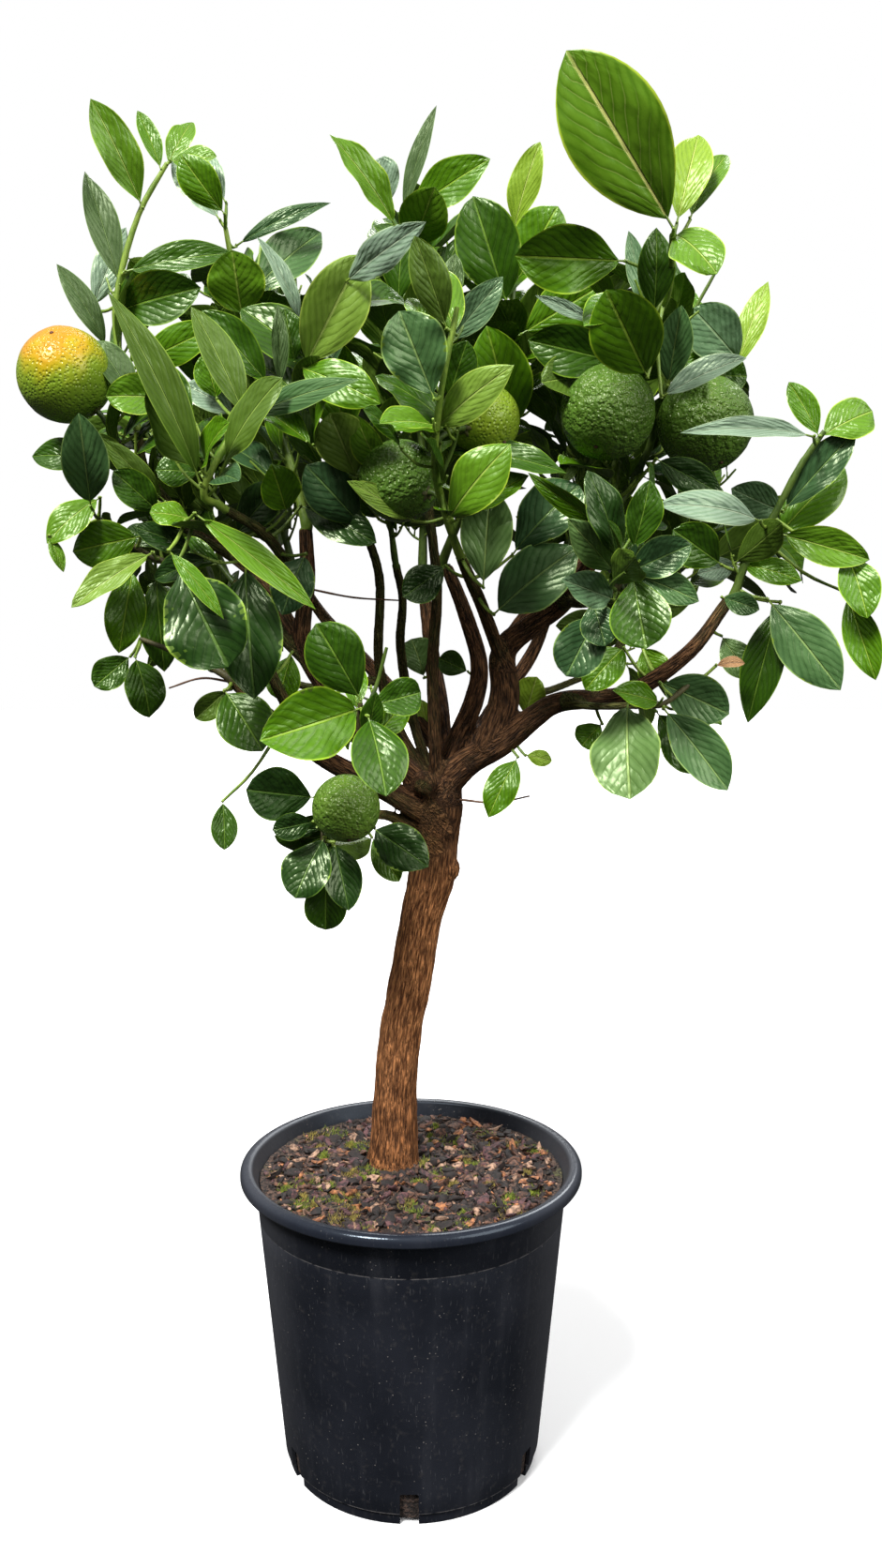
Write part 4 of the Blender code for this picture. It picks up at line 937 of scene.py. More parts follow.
# %% Side shoots between the twigs
SHOOT_EVERY = 7                 # along a stem or a twig
SHOOT_RADIUS = 1.2
SHOOT_TIP_RADIUS = 0.9
SHOOT_HABIT = Habit(start=0.4, span=0.6, last_spread=12, spread=(42, 70), swing=1.2, sink=0.1,
                    light=0.6, scale=0.86, size=(0.62, 1.08), slim=(0.44, 0.56), roll=0.6,
                    droop=(0.2, 0.8), rib=1.0, checks=(1.0,))


def grow_shoot(crown, mass, path, along, turn, rng):
    """One side shoot with its leaves, where there is room for it."""
    start, ahead = place_on(path, along)
    out = Matrix.Rotation(turn, 3, ahead) @ ahead.orthogonal().normalized()
    outward = (start - mm(CROWN_CENTRE)).normalized()
    way = (out + ahead * 0.35 + outward * 0.3 + UP * 0.2).normalized()
    length = MASSES[mass].reach * rng.uniform(0.16, 0.42) * MM
    shoot = [start, start + way * length * 0.5, start + (way + UP * 0.25).normalized() * length]
    radii = tapered(3, SHOOT_RADIUS, SHOOT_TIP_RADIUS)
    wood = crown.free_part(shoot, radii)
    if crown.own_space(mass, shoot[-1]) and not crown.blocked(wood, {(mass, "twig")}):
        if crown.grow_leaves(mass, shoot, rng, SHOOT_HABIT, start=turn):
            crown.add_twig(mass, shoot, radii, "shoot")


def grow_finer(crown, mass, rng):
    """Side shoots all along a mass's stem and twigs."""
    for twig in list(crown.twigs[mass]):
        if twig.kind not in ("stem", "twig"):
            continue
        run = sum((b - a).length for a, b in zip(twig.path, twig.path[1:]))
        shoots = max(2, round(run / (SHOOT_EVERY * MM)))
        for count in range(shoots):
            along = 0.12 + 0.86 * (count + rng.random()) / shoots
            grow_shoot(crown, mass, twig.path, along, GOLDEN_ANGLE * (count + 1), rng)


for seed, mass in enumerate(MASSES):
    grow_finer(crown, mass, random.Random(100 + seed))
print("leaves in all:", sum(len(leaves) for leaves in crown.leaves.values()))


# %% [markdown]
# ## Making a piece
#
# Every piece below is a mesh made from lists of points and faces. One helper turns them into an
# object, gives it its finishes, hangs it on the body that it rides on and hides the solids that it
# stands for. There are no joints, so everything rides on the one body, "root".

# %% Faces of a solid that is turned round an axis
def ring_corners(rings, steps):
    """Faces over a pole, rings of points and a second pole, as (ring, step) of their corners."""
    faces = []
    for step in range(steps):
        faces.append(((0, step + 0.5), (1, step), (1, step + 1)))
        faces.append(((rings + 1, step + 0.5), (rings, step + 1), (rings, step)))
        for ring in range(1, rings):
            faces.append(((ring, step), (ring + 1, step), (ring + 1, step + 1), (ring, step + 1)))
    return faces


def ring_faces(rings, steps):
    """The same faces as numbers of points: the first pole, ring after ring, the second pole."""

    def number(ring, step):
        if ring in (0, rings + 1):
            return ring // (rings + 1) * (1 + rings * steps)
        return 1 + (ring - 1) * steps + step % steps

    return [tuple(number(*corner) for corner in face) for face in ring_corners(rings, steps)]


# %% From points and faces to a piece
SHARP_FROM = math.radians(60)
POT_SHARP_FROM = math.radians(34)


class Heap:
    """Points and faces of many small things, gathered to make one piece."""

    def __init__(self):
        self.verts = []
        self.faces = []
        self.slots = []

    def add(self, shape, slot=0):
        verts, faces = shape
        first = len(self.verts)
        self.verts.extend(verts)
        self.faces.extend(tuple(first + index for index in face) for face in faces)
        self.slots.extend([slot] * len(faces))

    def mesh(self, name):
        made = bpy.data.meshes.new(name)
        made.from_pydata([tuple(vert) for vert in self.verts], [], self.faces)
        return made


def add_piece(name, heap, finishes, stands_for=()):
    """A smooth-shaded piece that rides with the tree."""
    mesh = heap.mesh(name)
    for finish in finishes:
        mesh.materials.append(finish.material)
    mesh.polygons.foreach_set("material_index", heap.slots)
    mesh.shade_smooth()
    mesh.set_sharp_from_angle(angle=SHARP_FROM)
    piece = put_in_scene(name, mesh)
    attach(piece, "root")
    if stands_for:
        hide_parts(*stands_for)
    print(f"{name}: {sum(len(face) - 2 for face in heap.faces)} triangles")
    return piece


# %% [markdown]
# ## Leaves
#
# A citrus blade is widest near its middle, ends in a blunt point and folds a little along its
# midrib. Its edge is a pale line, and the flesh swells up between the side veins. A flat card
# with a picture would show none of that from the side. Here each leaf is a closed, thin, bent
# mesh with an upper and a lower skin, and its finish draws the veins from two numbers: how far
# across the blade a point is, and how far along.
#
# These two numbers are kept as the mesh's UV map. Each kind of leaf has a cell of the map to
# itself, so that all the leaves of one kind can share one drawing.

# %% Kinds of leaf
Kind = namedtuple("Kind", "blade flesh vein edge gloss under")
KINDS = {
    "deep": Kind((0.009, 0.030, 0.005), (0.019, 0.054, 0.008), (0.09, 0.17, 0.03),
        (0.13, 0.24, 0.03), 0.26, "olive"),
    "dark": Kind((0.018, 0.058, 0.003), (0.036, 0.100, 0.004), (0.15, 0.27, 0.03),
        (0.20, 0.35, 0.02), 0.28, "olive"),
    "green": Kind((0.046, 0.134, 0.002), (0.080, 0.200, 0.003), (0.28, 0.44, 0.04),
        (0.38, 0.58, 0.03), 0.30, "olive"),
    "fresh": Kind((0.072, 0.175, 0.004), (0.108, 0.240, 0.010), (0.32, 0.45, 0.07),
        (0.45, 0.62, 0.05), 0.30, "lime"),
    "young": Kind((0.170, 0.300, 0.014), (0.250, 0.390, 0.030), (0.50, 0.62, 0.13),
        (0.56, 0.70, 0.10), 0.34, "young"),
    "greydark": Kind((0.020, 0.056, 0.018), (0.042, 0.100, 0.034), (0.15, 0.26, 0.07),
        (0.24, 0.38, 0.09), 0.26, "olive"),
    "grey": Kind((0.036, 0.094, 0.026), (0.070, 0.150, 0.046), (0.22, 0.34, 0.10),
        (0.30, 0.45, 0.12), 0.27, "olive"),
    "greylight": Kind((0.074, 0.150, 0.066), (0.135, 0.235, 0.115), (0.28, 0.40, 0.20),
        (0.34, 0.48, 0.20), 0.27, "pale"),
    # This kind's pale blue-green blade is painted sheen: it stands for the sky's pale reflection on the
    # upper face, not for the leaf's own colour.
    "painted_sheen": Kind((0.150, 0.240, 0.145), (0.280, 0.385, 0.265), (0.42, 0.52, 0.34),
        (0.46, 0.58, 0.32), 0.28, "pale"),
    "dull": Kind((0.042, 0.082, 0.022), (0.066, 0.118, 0.034), (0.15, 0.24, 0.07),
        (0.16, 0.28, 0.05), 0.44, "dull"),
    "olive": Kind((0.056, 0.112, 0.008), (0.084, 0.152, 0.015), (0.24, 0.36, 0.06),
        (0.30, 0.45, 0.05), 0.42, "olive"),
    "lime": Kind((0.135, 0.240, 0.020), (0.190, 0.310, 0.038), (0.38, 0.50, 0.11),
        (0.46, 0.60, 0.09), 0.36, "lime"),
    "pale": Kind((0.070, 0.145, 0.032), (0.118, 0.212, 0.058), (0.30, 0.43, 0.12),
        (0.34, 0.48, 0.12), 0.32, "pale"),
    "huge": Kind((0.066, 0.168, 0.003), (0.112, 0.240, 0.010), (0.66, 0.66, 0.20),
        (0.52, 0.68, 0.05), 0.30, "lime"),
    "dry": Kind((0.300, 0.140, 0.060), (0.420, 0.230, 0.110), (0.50, 0.33, 0.20),
        (0.46, 0.28, 0.15), 0.60, "dry"),
}
CELLS = 4                       # cells of the map each way
CELL_EDGE = 0.03                # left bare round a cell's drawing


def cell_corner(index):
    """The lower left corner of a cell of the map."""
    return index % CELLS / CELLS, index // CELLS / CELLS


# %% The finish of a blade
VEINS = 8                       # side veins on each half
VEIN_SLANT = 0.42               # how far along the blade a vein runs from midrib to edge


def leaf_finish(name, kind, index):
    """Blade, flesh between the veins, midrib and edge, drawn across and along the leaf."""
    finish = Finish("leaf_" + name)
    left, low = cell_corner(index)
    spread = finish.node("UVMap", {"uv_map": "OFBake"})
    columns, rows, _ = finish.split(spread)
    inner = 1 - 2 * CELL_EDGE
    across = ((columns - left) * CELLS - 0.5) * (2 / inner)
    along = ((rows - low) * CELLS - CELL_EDGE) * (1 / inner)
    reach = abs(across)
    width = (along * (1 - along) * 4).rise(-0.05, 1.05) ** 0.6
    grain = finish.clouds(spread, 24.0, 2.5)
    mottle = finish.clouds(spread, 11.0, 2.0)

    midrib = 1 - (reach * width).rise(0.018, 0.056)
    midrib = midrib * (1 - along.rise(0.75, 1.0) * 0.6)
    curve = along - reach * width * VEIN_SLANT - reach ** 3 * 0.10
    ridge = abs(((curve + mottle * 0.17) * VEINS).part() - 0.5) * 2
    vein = ridge.rise(0.84, 1.0) * (1 - reach.rise(0.40, 0.90))
    edge = reach.rise(0.93, 0.985)

    swell = (1 - ridge.rise(0.2, 1.0)) * 0.34 + mottle * 0.45 + grain * 0.32
    colour = finish.mix(swell.rise(0.25, 0.85), kind.blade, kind.flesh)
    colour = finish.mix(vein * 0.20, colour, kind.vein)
    colour = finish.mix(midrib * 0.92, colour, kind.vein)
    colour = finish.mix(edge * 0.8, colour, kind.edge)
    finish.shade({"Base Color": colour, "Roughness": grain * 0.14 + kind.gloss * 0.85,
                  "Specular IOR Level": 0.5, "Specular Tint": (0.85, 1.0, 0.62)})
    pillow = (1 - ridge ** 2) * (1 - reach.rise(0.55, 1.0))
    relief = grain * 0.7 + mottle * 1.9 + pillow * 0.16 - midrib * 0.7
    finish.bump(relief, 1.2 * MM)
    return finish


leaf_finishes = [leaf_finish(name, kind, index)
                 for index, (name, kind) in enumerate(KINDS.items())]
print("kinds of leaf:", len(leaf_finishes))


# %% [markdown]
# ### The shape of one blade
#
# All blades have the same rows and columns of points, so their faces and their map are worked out
# once. Only the points differ: each leaf has its own bend, fold, twist and wavy edge.

# %% The faces and the map that all blades share
ROWS = 16                       # spans from foot to tip
COLUMNS = 10                    # spans from edge to edge
RING = 2 * COLUMNS              # points of one row, upper and lower skin
BLADE_START = 0.06              # the bare stalk, as a share of the leaf


def upper(row, column):
    return 1 + (row - 1) * RING + column


def lower(row, column):
    if column in (0, COLUMNS):
        return upper(row, column)
    return 1 + (row - 1) * RING + COLUMNS + column


def blade_topology():
    """Faces, their place on the map, and how many of them are the upper skin's."""
    foot, tip = 0, 1 + (ROWS - 1) * RING
    faces, places = [], []
    for skin in (upper, lower):
        for column in range(COLUMNS):
            left, right = column / COLUMNS, (column + 1) / COLUMNS
            middle = (left + right) / 2
            first, last = 1 / ROWS, (ROWS - 1) / ROWS
            made = [((foot, skin(1, column + 1), skin(1, column)),
                     ((middle, 0.0), (right, first), (left, first))),
                    ((skin(ROWS - 1, column), skin(ROWS - 1, column + 1), tip),
                     ((left, last), (right, last), (middle, 1.0)))]
            for row in range(1, ROWS - 1):
                here, beyond = row / ROWS, (row + 1) / ROWS
                made.append(((skin(row, column), skin(row, column + 1),
                              skin(row + 1, column + 1), skin(row + 1, column)),
                             ((left, here), (right, here), (right, beyond), (left, beyond))))
            for face, place in made:
                faces.append(face if skin is upper else face[::-1])
                places.append(place if skin is upper else place[::-1])
    return faces, places


BLADE_FACES, BLADE_PLACES = blade_topology()
BLADE_POINTS = 2 + (ROWS - 1) * RING
print("faces of one blade:", len(BLADE_FACES))


# %% The points of one blade
def blade_points(leaf, rng):
    """The points of one leaf's blade, in the order that the shared faces expect."""
    share = np.arange(1, ROWS) / ROWS
    across = np.linspace(-1.0, 1.0, COLUMNS + 1)
    slim = min(max(1.6 - 2.2 * leaf.width / leaf.length, 0.0), 1.0)
    blunt = rng.random() * (1 - slim)
    foot_power = 0.82 + 0.24 * blunt + 0.10 * slim
    tip_power = 0.80 - 0.18 * blunt + 0.24 * slim
    widest = foot_power / (foot_power + tip_power)
    most = widest ** foot_power * (1 - widest) ** tip_power
    half = leaf.width / 2 * share ** foot_power * (1 - share) ** tip_power / most

    def line(part):
        """The midrib's points and the blade's up direction at shares of the blade."""
        along = BLADE_START + (1 - BLADE_START) * part
        bend = (leaf.droop * (along - 0.5))[:, None]
        way, up = np.array(leaf.way), np.array(leaf.up)
        run = (math.sin(leaf.droop / 2) + np.sin(bend)) / leaf.droop
        sag = (np.cos(bend) - math.cos(leaf.droop / 2)) / leaf.droop
        middle = np.array(leaf.foot) + (way * run + up * sag) * leaf.length
        return middle, up * np.cos(bend) + way * np.sin(bend)

    middle, up = line(share)
    side = np.array(leaf.side)
    twist = rng.uniform(-0.30, 0.30) * (share - 0.3)[:, None]
    out = side * np.cos(twist) + up * np.sin(twist)
    up = up * np.cos(twist) - side * np.sin(twist)

    fold = math.radians(rng.uniform(11, 25))
    cup = rng.uniform(-0.05, 0.26)
    waves, phase = rng.uniform(1.2, 2.8), rng.uniform(0, math.tau)
    wave = rng.uniform(0.010, 0.055) * leaf.width
    far = np.abs(across)[None, :]
    offset = half[:, None] * across[None, :] * math.cos(fold)
    lift = half[:, None] * (far * math.sin(fold) - cup * far ** 2.5)
    lift = lift + wave * far ** 2 * np.sin(math.tau * waves * share[:, None] + phase
                                           + np.sign(across)[None, :])
    skin = middle[:, None, :] + out[:, None, :] * offset[:, :, None] + up[:, None, :] * lift[:, :, None]
    thick = 0.30 * MM + 0.010 * leaf.length * (1 - far / 0.22).clip(0, 1) * (1 - share[:, None])
    under = skin - up[:, None, :] * thick[:, :, None]

    ends, _ = line(np.array([0.0, 1.0]))
    rows = np.concatenate([skin, under[:, 1:-1]], axis=1).reshape(-1, 3)
    return np.concatenate([ends[:1], rows, ends[1:]])


# %% [markdown]
# ### Colours by spray
#
# New growth is yellow-green, leaves in full light are a fresh green and old leaves inside the
# crown are nearly black. On this tree that goes by spray, so each mass has a few kinds to draw
# from, and the leaves that show have a kind of their own.

# %% The sides of the crown, their sprays and the kinds of each
SIDES = {
    "left": {
        "top_left_spray": "green green fresh dark", "left_fruit_spray": "dark green deep",
        "left_low_spray": "dark dark green deep", "left_under_spray": "deep dark",
        "big_dark_spray": "deep dark", "front_left_spray": "green dark greydark olive",
        "upper_left_spray": "dark dark green greydark",
        "upper_front_left_spray": "greydark green dark", "side_left_spray": "dark green",
    },
    "middle": {
        "centre_inner_spray": "deep dark green", "top_centre_spray": "green dark green",
        "centre_front_spray": "green fresh dark", "upper_centre_spray": "dark green green deep",
        "low_left_spray": "green dark fresh", "lowest_left_spray": "deep dark dark",
    },
    "right": {
        "crest_spray": "green dark green", "right_fruit_spray": "dark greydark green deep",
        "right_shoot_spray": "green dark greydark", "right_middle_spray": "deep greydark dark",
        "low_right_spray": "green greydark dark", "side_right_spray": "dark green greydark",
    },
    "back": {
        "back_top_spray": "dark green", "back_left_spray": "dark green deep",
        "back_right_spray": "dark green deep", "back_low_left_spray": "dark green",
        "back_low_right_spray": "dark green",
    },
}


# %% Join the leaves of each side of the crown
def cell_places(index):
    """The corners of the shared faces, moved into one kind's cell of the map."""
    left, low = cell_corner(index)
    inner = 1 - 2 * CELL_EDGE
    return [((left + (CELL_EDGE + inner * u) / CELLS), (low + (CELL_EDGE + inner * v) / CELLS))
            for place in BLADE_PLACES for u, v in place]


KIND_NAMES = list(KINDS)
KIND_PLACES = np.array([cell_places(index) for index in range(len(KIND_NAMES))])
UPPER_CORNERS = KIND_PLACES.shape[1] // 2
UPPER_FACES = len(BLADE_FACES) // 2


def join_leaves(name, leaves, stands_for):
    """One piece from many leaves: a list of each leaf and its kind."""
    verts, faces, places, slots = [], [], [], []
    for number, (leaf, kind) in enumerate(leaves):
        first = number * BLADE_POINTS
        verts.append(blade_points(leaf, random.Random(number)))
        faces.extend(tuple(first + index for index in face) for face in BLADE_FACES)
        top, bottom = KIND_NAMES.index(kind), KIND_NAMES.index(KINDS[kind].under)
        places += [KIND_PLACES[top][:UPPER_CORNERS], KIND_PLACES[bottom][UPPER_CORNERS:]]
        slots += [top] * UPPER_FACES + [bottom] * UPPER_FACES
    heap = Heap()
    heap.verts, heap.faces, heap.slots = np.concatenate(verts), faces, slots
    piece = add_piece(name, heap, leaf_finishes, stands_for)
    spread = piece.data.uv_layers.new(name="OFBake")
    spread.data.foreach_set("uv", np.concatenate(places).ravel())


picker = random.Random(7)
for side, masses in SIDES.items():
    chosen = []
    for mass, kinds in masses.items():
        for leaf in crown.leaves[mass]:
            chosen.append((leaf, leaf.kind or picker.choice(kinds.split())))
    join_leaves("leaves_" + side, chosen, tuple(masses))


# %% [markdown]
# ## Twigs, stalks and buds
#
# Young citrus wood stays green for a year or two and is never quite straight: it swells at each
# leaf and narrows between. The coarse paths are smoothed into curves and wrapped in tubes whose
# radius ripples a little. Each leaf gets a stalk that bends from the twig into its midrib, and a
# bud in the corner above the stalk.

# %% Finish of green wood
def green_wood(name, skin, shade, gloss):
    """Green bark with fine pale lines along the twig."""
    finish = Finish(name)
    place = finish.object_place()
    lines = finish.clouds(finish.stretched(place, (1.0, 1.0, 0.25)), 900.0, 3.0)
    patches = finish.clouds(place, 70.0)
    colour = finish.mix((patches * 0.6 + lines * 0.4).rise(0.35, 0.62), shade, skin)
    finish.shade({"Base Color": colour, "Roughness": patches * 0.2 + gloss})
    finish.bump(lines, 0.25 * MM)
    return finish


twig_finishes = [
    green_wood("old_stem", (0.100, 0.090, 0.028), (0.040, 0.034, 0.013), 0.45),
    green_wood("stem_green", (0.110, 0.180, 0.022), (0.050, 0.095, 0.012), 0.38),
    green_wood("shoot_green", (0.270, 0.390, 0.050), (0.130, 0.230, 0.025), 0.34),
    green_wood("bare_wood", (0.170, 0.080, 0.036), (0.060, 0.028, 0.014), 0.60),
]


# %% Tubes along smooth paths
TWIG_ROUND = 7                  # sides of a twig's tube
STALK_ROUND = 5


def fine_path(path, radii, per_span):
    """A coarse path and its radii, smoothed together."""
    thick = [Vector((*point, radius)) for point, radius in zip(path, radii)]
    smooth = smooth_path(thick, per_span)
    return [point.to_3d() for point in smooth], [point.w for point in smooth]


def knobbly(radii, rng):
    """Radii that ripple as a twig's do from leaf to leaf."""
    phase = rng.uniform(0, math.tau)
    return [radius * (1 + 0.07 * math.sin(1.7 * i + phase) + rng.uniform(-0.03, 0.03))
            for i, radius in enumerate(radii)]


# %% Every stem, twig, stalk and bud
STEM_LIKE_LIMB = 0.92           # a stem's first radius, next to the tip that it grows from
REAL_RADII = {"stem": (None, 1.7), "twig": (1.55, 1.05), "spur": (1.3, 1.0),
              "shoot": (1.1, 0.75), "stalk": (1.7, 2.1)}
BUD = 1.0                       # radius of a bud
BROWN_STEMS = ("left_fruit_spray", "left_low_spray", "left_under_spray", "big_dark_spray",
               "low_left_spray", "lowest_left_spray", "low_right_spray", "back_low_left_spray",
               "back_low_right_spray", "right_middle_spray")
YOUNG_STEMS = ("top_left_spray", "upper_left_spray", "front_left_spray", "crest_spray",
               "centre_front_spray")
# Thin dead twigs without leaves: the points they pass, and a radius.
BARE_TWIGS = (
    ((35, 0, 492), (60, -8, 491), (84, -10, 496), 0.9),
    ((-69, -20, 640), (-38, -25, 634), (-7, -22, 632), 0.8),
    ((-118, -46, 578), (-140, -36, 580), (-163, -30, 573), 0.9),
)


def twig_radii(twig, count):
    """The radii of the real wood, which is finer than the solids can be."""
    first, last = REAL_RADII[twig.kind]
    if twig.kind == "stem":
        first = twig.radii[0] / MM * STEM_LIKE_LIMB
    return tapered(count, first, last)


def stalk(leaf):
    """A leaf's stalk, from inside its twig to the start of its midrib."""
    start = leaf.foot - leaf.way * 1.0 * MM
    path = [start, leaf_point(leaf, 0.03, 0, 0.0), leaf_point(leaf, 0.07, 0, 0.0),
            leaf_point(leaf, BLADE_START + 0.03, 0, -0.2 * MM)]
    thick = min(1.0, leaf.length / (70 * MM))
    return tube(path, [radius * MM * thick for radius in (1.0, 0.72, 0.68, 0.40)], STALK_ROUND)


wood_rng = random.Random(11)
wood = Heap()
for mass, twigs in crown.twigs.items():
    for twig in twigs:
        path, radii = twig.path, twig_radii(twig, len(twig.path))
        if twig.kind == "stem":
            path = [path[0] - (path[1] - path[0]).normalized() * 2 * MM] + path[1:]
        path, radii = fine_path(path, radii, 4)
        radii = knobbly(radii, wood_rng)
        if twig.kind == "stem":
            slot = 0 if mass in BROWN_STEMS else 2 if mass in YOUNG_STEMS else 1
        else:
            slot = 2 if twig.kind in ("spur", "shoot") else 1
        wood.add(tube(path, radii, TWIG_ROUND), slot)
    for leaf in crown.leaves[mass]:
        wood.add(stalk(leaf), 2)
        wood.add(ball(leaf.foot + leaf.up * 1.5 * MM + leaf.way * 0.6 * MM, BUD * MM, 1), 2)
for *points, radius in BARE_TWIGS:
    path, radii = fine_path([mm(point) for point in points], tapered(3, radius, radius * 0.7), 6)
    wood.add(tube(path, knobbly(radii, wood_rng), TWIG_ROUND), 3)
add_piece("twigs", wood, twig_finishes, tuple(MASSES))


# %% [markdown]
# ## Bark
#
# The trunk and the boughs are one piece of wood, so their skin should run on from one into the
# next. Tubes that only cross would show a hard line at each fork. So the limbs are drawn as fine
# tubes, melted into one skin with a voxel remesh, and smoothed a little, which rounds the crotches
# as growing wood does. Then each point of the skin is moved in or out by a relief that runs along
# its own limb: long narrow fissures, and slow lumps where old twigs were.

# %% Melt the limbs into one skin
LIMB_ROUND = 20
VOXEL = 1.48                    # in millimetres
SKIN_SMOOTHING = 4
# Old cuts and knots: centre and radius.
KNUCKLES = (
    ((1, 2, 497), 8.5), ((-1, 0, 484), 6.0), ((26, 6, 441), 9.6), ((10, -10, 505), 9.0),
    ((30, 2, 512), 9.5), ((24, 22, 500), 9.0), ((2, 8, 452), 4.5), ((26, -6, 470), 5.0),
    ((-22, 6, 516), 5.5), ((62, -8, 536), 6.0), ((-62, -14, 578), 6.0),
)


def limb_shapes(limbs):
    """Fine tubes round every limb, and the knots on them."""
    shapes = Heap()
    paths = {}
    for name, (path, radii) in limbs.items():
        paths[name] = fine_path(path, radii, 3 if name == "trunk" else 6)
        shapes.add(tube(*paths[name], LIMB_ROUND))
    for centre, radius in KNUCKLES:
        shapes.add(ball(mm(centre), radius * MM, 3))
    return shapes, paths


def melted(shapes):
    """One closed, smoothed skin round a heap of closed shapes."""
    mesh = shapes.mesh("limb_shapes")
    rough = put_in_scene("limb_shapes", mesh)
    remesh = rough.modifiers.new("remesh", "REMESH")
    remesh.mode = "VOXEL"
    remesh.voxel_size = VOXEL * MM
    smooth = rough.modifiers.new("smooth", "SMOOTH")
    smooth.iterations = SKIN_SMOOTHING
    graph = bpy.context.evaluated_depsgraph_get()
    skin = bpy.data.meshes.new_from_object(rough.evaluated_get(graph))
    bpy.data.objects.remove(rough)
    bpy.data.meshes.remove(mesh)
    return skin


limb_heap, limb_lines = limb_shapes(limbs)
bark_mesh = melted(limb_heap)
print("points of the bark:", len(bark_mesh.vertices))


# %% Run the relief along each limb
LINE_STEP = 1.5                 # between the samples of a limb's middle line
LineSpot = namedtuple("LineSpot", "point ahead across run radius")


def line_spots(lines):
    """Close-set samples of every limb's middle line, each with a direction across it."""
    spots = []
    for path, radii in lines.values():
        across, run = None, 0.0
        for a, b, first, last in zip(path, path[1:], radii, radii[1:]):
            ahead = (b - a).normalized()
            across = across or ahead.orthogonal()
            across = (across - ahead * across.dot(ahead)).normalized()
            length = (b - a).length
            steps = max(1, round(length / (LINE_STEP * MM)))
            for step in range(steps):
                share = step / steps
                spots.append(LineSpot(a.lerp(b, share), ahead, across, run + length * share,
                                      first + (last - first) * share))
            run += length
    return spots


GRAIN_STRETCH = 0.13            # how much slower the bark changes along a limb than round it
FISSURE = 300                   # patterns of the fissures to a metre, round the limb
LUMP = 55


def add_relief(mesh, spots):
    """Moves the skin's points by the bark's relief and keeps their place in the grain."""
    tree = KDTree(len(spots))
    for index, spot in enumerate(spots):
        tree.insert(spot.point, index)
    tree.balance()
    grain, girth = [], []
    for vert, corner in zip(mesh.vertices, [normal.vector.copy() for normal in mesh.vertex_normals]):
        _, index, _ = tree.find(vert.co)
        spot = spots[index]
        off = vert.co - spot.point
        other = spot.ahead.cross(spot.across)
        run = (spot.run + off.dot(spot.ahead)) * GRAIN_STRETCH
        here = Vector((off.dot(spot.across), off.dot(other), run))
        crack = abs(noise.noise(here * FISSURE)) + 0.5 * abs(noise.noise(here * FISSURE * 2.1))
        lump = noise.noise(vert.co * LUMP)
        depth = min(spot.radius, 17 * MM) * 0.055
        vert.co += corner * (depth * (1.1 * crack - 0.35) + lump * spot.radius * 0.045)
        grain.extend(here)
        girth.append(spot.radius / MM)
    mesh.attributes.new("grain", "FLOAT_VECTOR", "POINT").data.foreach_set("vector", grain)
    mesh.attributes.new("girth", "FLOAT", "POINT").data.foreach_set("value", girth)


add_relief(bark_mesh, line_spots(limb_lines))


# %% Finish of the bark
def bark_finish():
    """Warm brown on the trunk, darker towards the fork and green where a bough is thin."""
    finish = Finish("bark")
    grain = finish.node("Attribute", {"attribute_name": "grain"}, output="Vector")
    place = finish.object_place()
    girth = finish.node("Attribute", {"attribute_name": "girth"}, output="Fac")
    fissures = finish.clouds(grain, 700.0, 5.0)
    cracks = abs(finish.clouds(grain, 520.0, 2.0) - 0.5) * 2
    patches = finish.clouds(place, 38.0, 4.0)
    _, _, height = finish.split(place)
    head = (height + patches * 0.05).rise(0.43, 0.53)
    # Painted shade and light: the trunk is painted darker at its foot, under 0.26 m, and lighter above
    # 0.36 m, where the crown's shadow falls on it.
    foot = finish.mix(fissures.rise(0.34, 0.66), (0.072, 0.025, 0.008), (0.400, 0.160, 0.055))
    warm = finish.mix(fissures.rise(0.34, 0.66), (0.175, 0.062, 0.020), (0.800, 0.340, 0.125))
    warm = finish.mix((height + patches * 0.04).rise(0.26, 0.36), foot, warm)
    warm = finish.mix(patches.rise(0.45, 0.75) * 0.35, warm, (0.240, 0.098, 0.036))
    dark = finish.mix(fissures.rise(0.36, 0.62), (0.034, 0.016, 0.007), (0.250, 0.118, 0.050))
    dark = finish.mix(patches.rise(0.50, 0.78) * 0.5, dark, (0.080, 0.062, 0.026))
    thin = 1 - (girth + patches * 2.0).rise(4.3, 6.2)
    dark = finish.mix(thin * 0.75, dark, (0.075, 0.105, 0.022))
    colour = finish.mix(head, warm, dark)
    # Partly painted shade: the bark is darkest in its fissures and cracks, where the bump sinks; that is
    # partly the furrows' own dark colour and partly painted shade.
    colour = finish.mix((1 - cracks.rise(0.02, 0.14)) * 0.6, colour, (0.026, 0.012, 0.006))
    finish.shade({"Base Color": colour, "Roughness": fissures * 0.2 + 0.66,
                  "Specular IOR Level": 0.2})
    finish.bump(fissures * 0.9 + cracks.rise(0.0, 0.3) * 0.7, 2.2 * MM)
    return finish


def add_bark(mesh, finish):
    mesh.name = "bark"
    mesh.materials.clear()
    mesh.materials.append(finish.material)
    mesh.shade_smooth()
    piece = put_in_scene("bark", mesh)
    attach(piece, "root")
    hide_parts(*limbs)
    print("bark:", 2 * len(mesh.polygons), "triangles")


add_bark(bark_mesh, bark_finish())


# %% [markdown]
# ## Fruit
#
# A small green citrus is nearly a ball: a touch flat, dimpled where the stalk enters and at the
# blossom end, and covered in oil glands that stand as tiny bumps. Each fruit is a grid of points
# in rings round its own axis, so that its map has no torn edges. How ripe it is, is a number kept
# on each point: 0 is dark green, 1 light green and 2 a warm orange-yellow.

# %% Rings round the axis
FRUIT_RINGS = 44
FRUIT_ROUND = 64
FRUIT_CELLS = 3                 # cells of the map each way


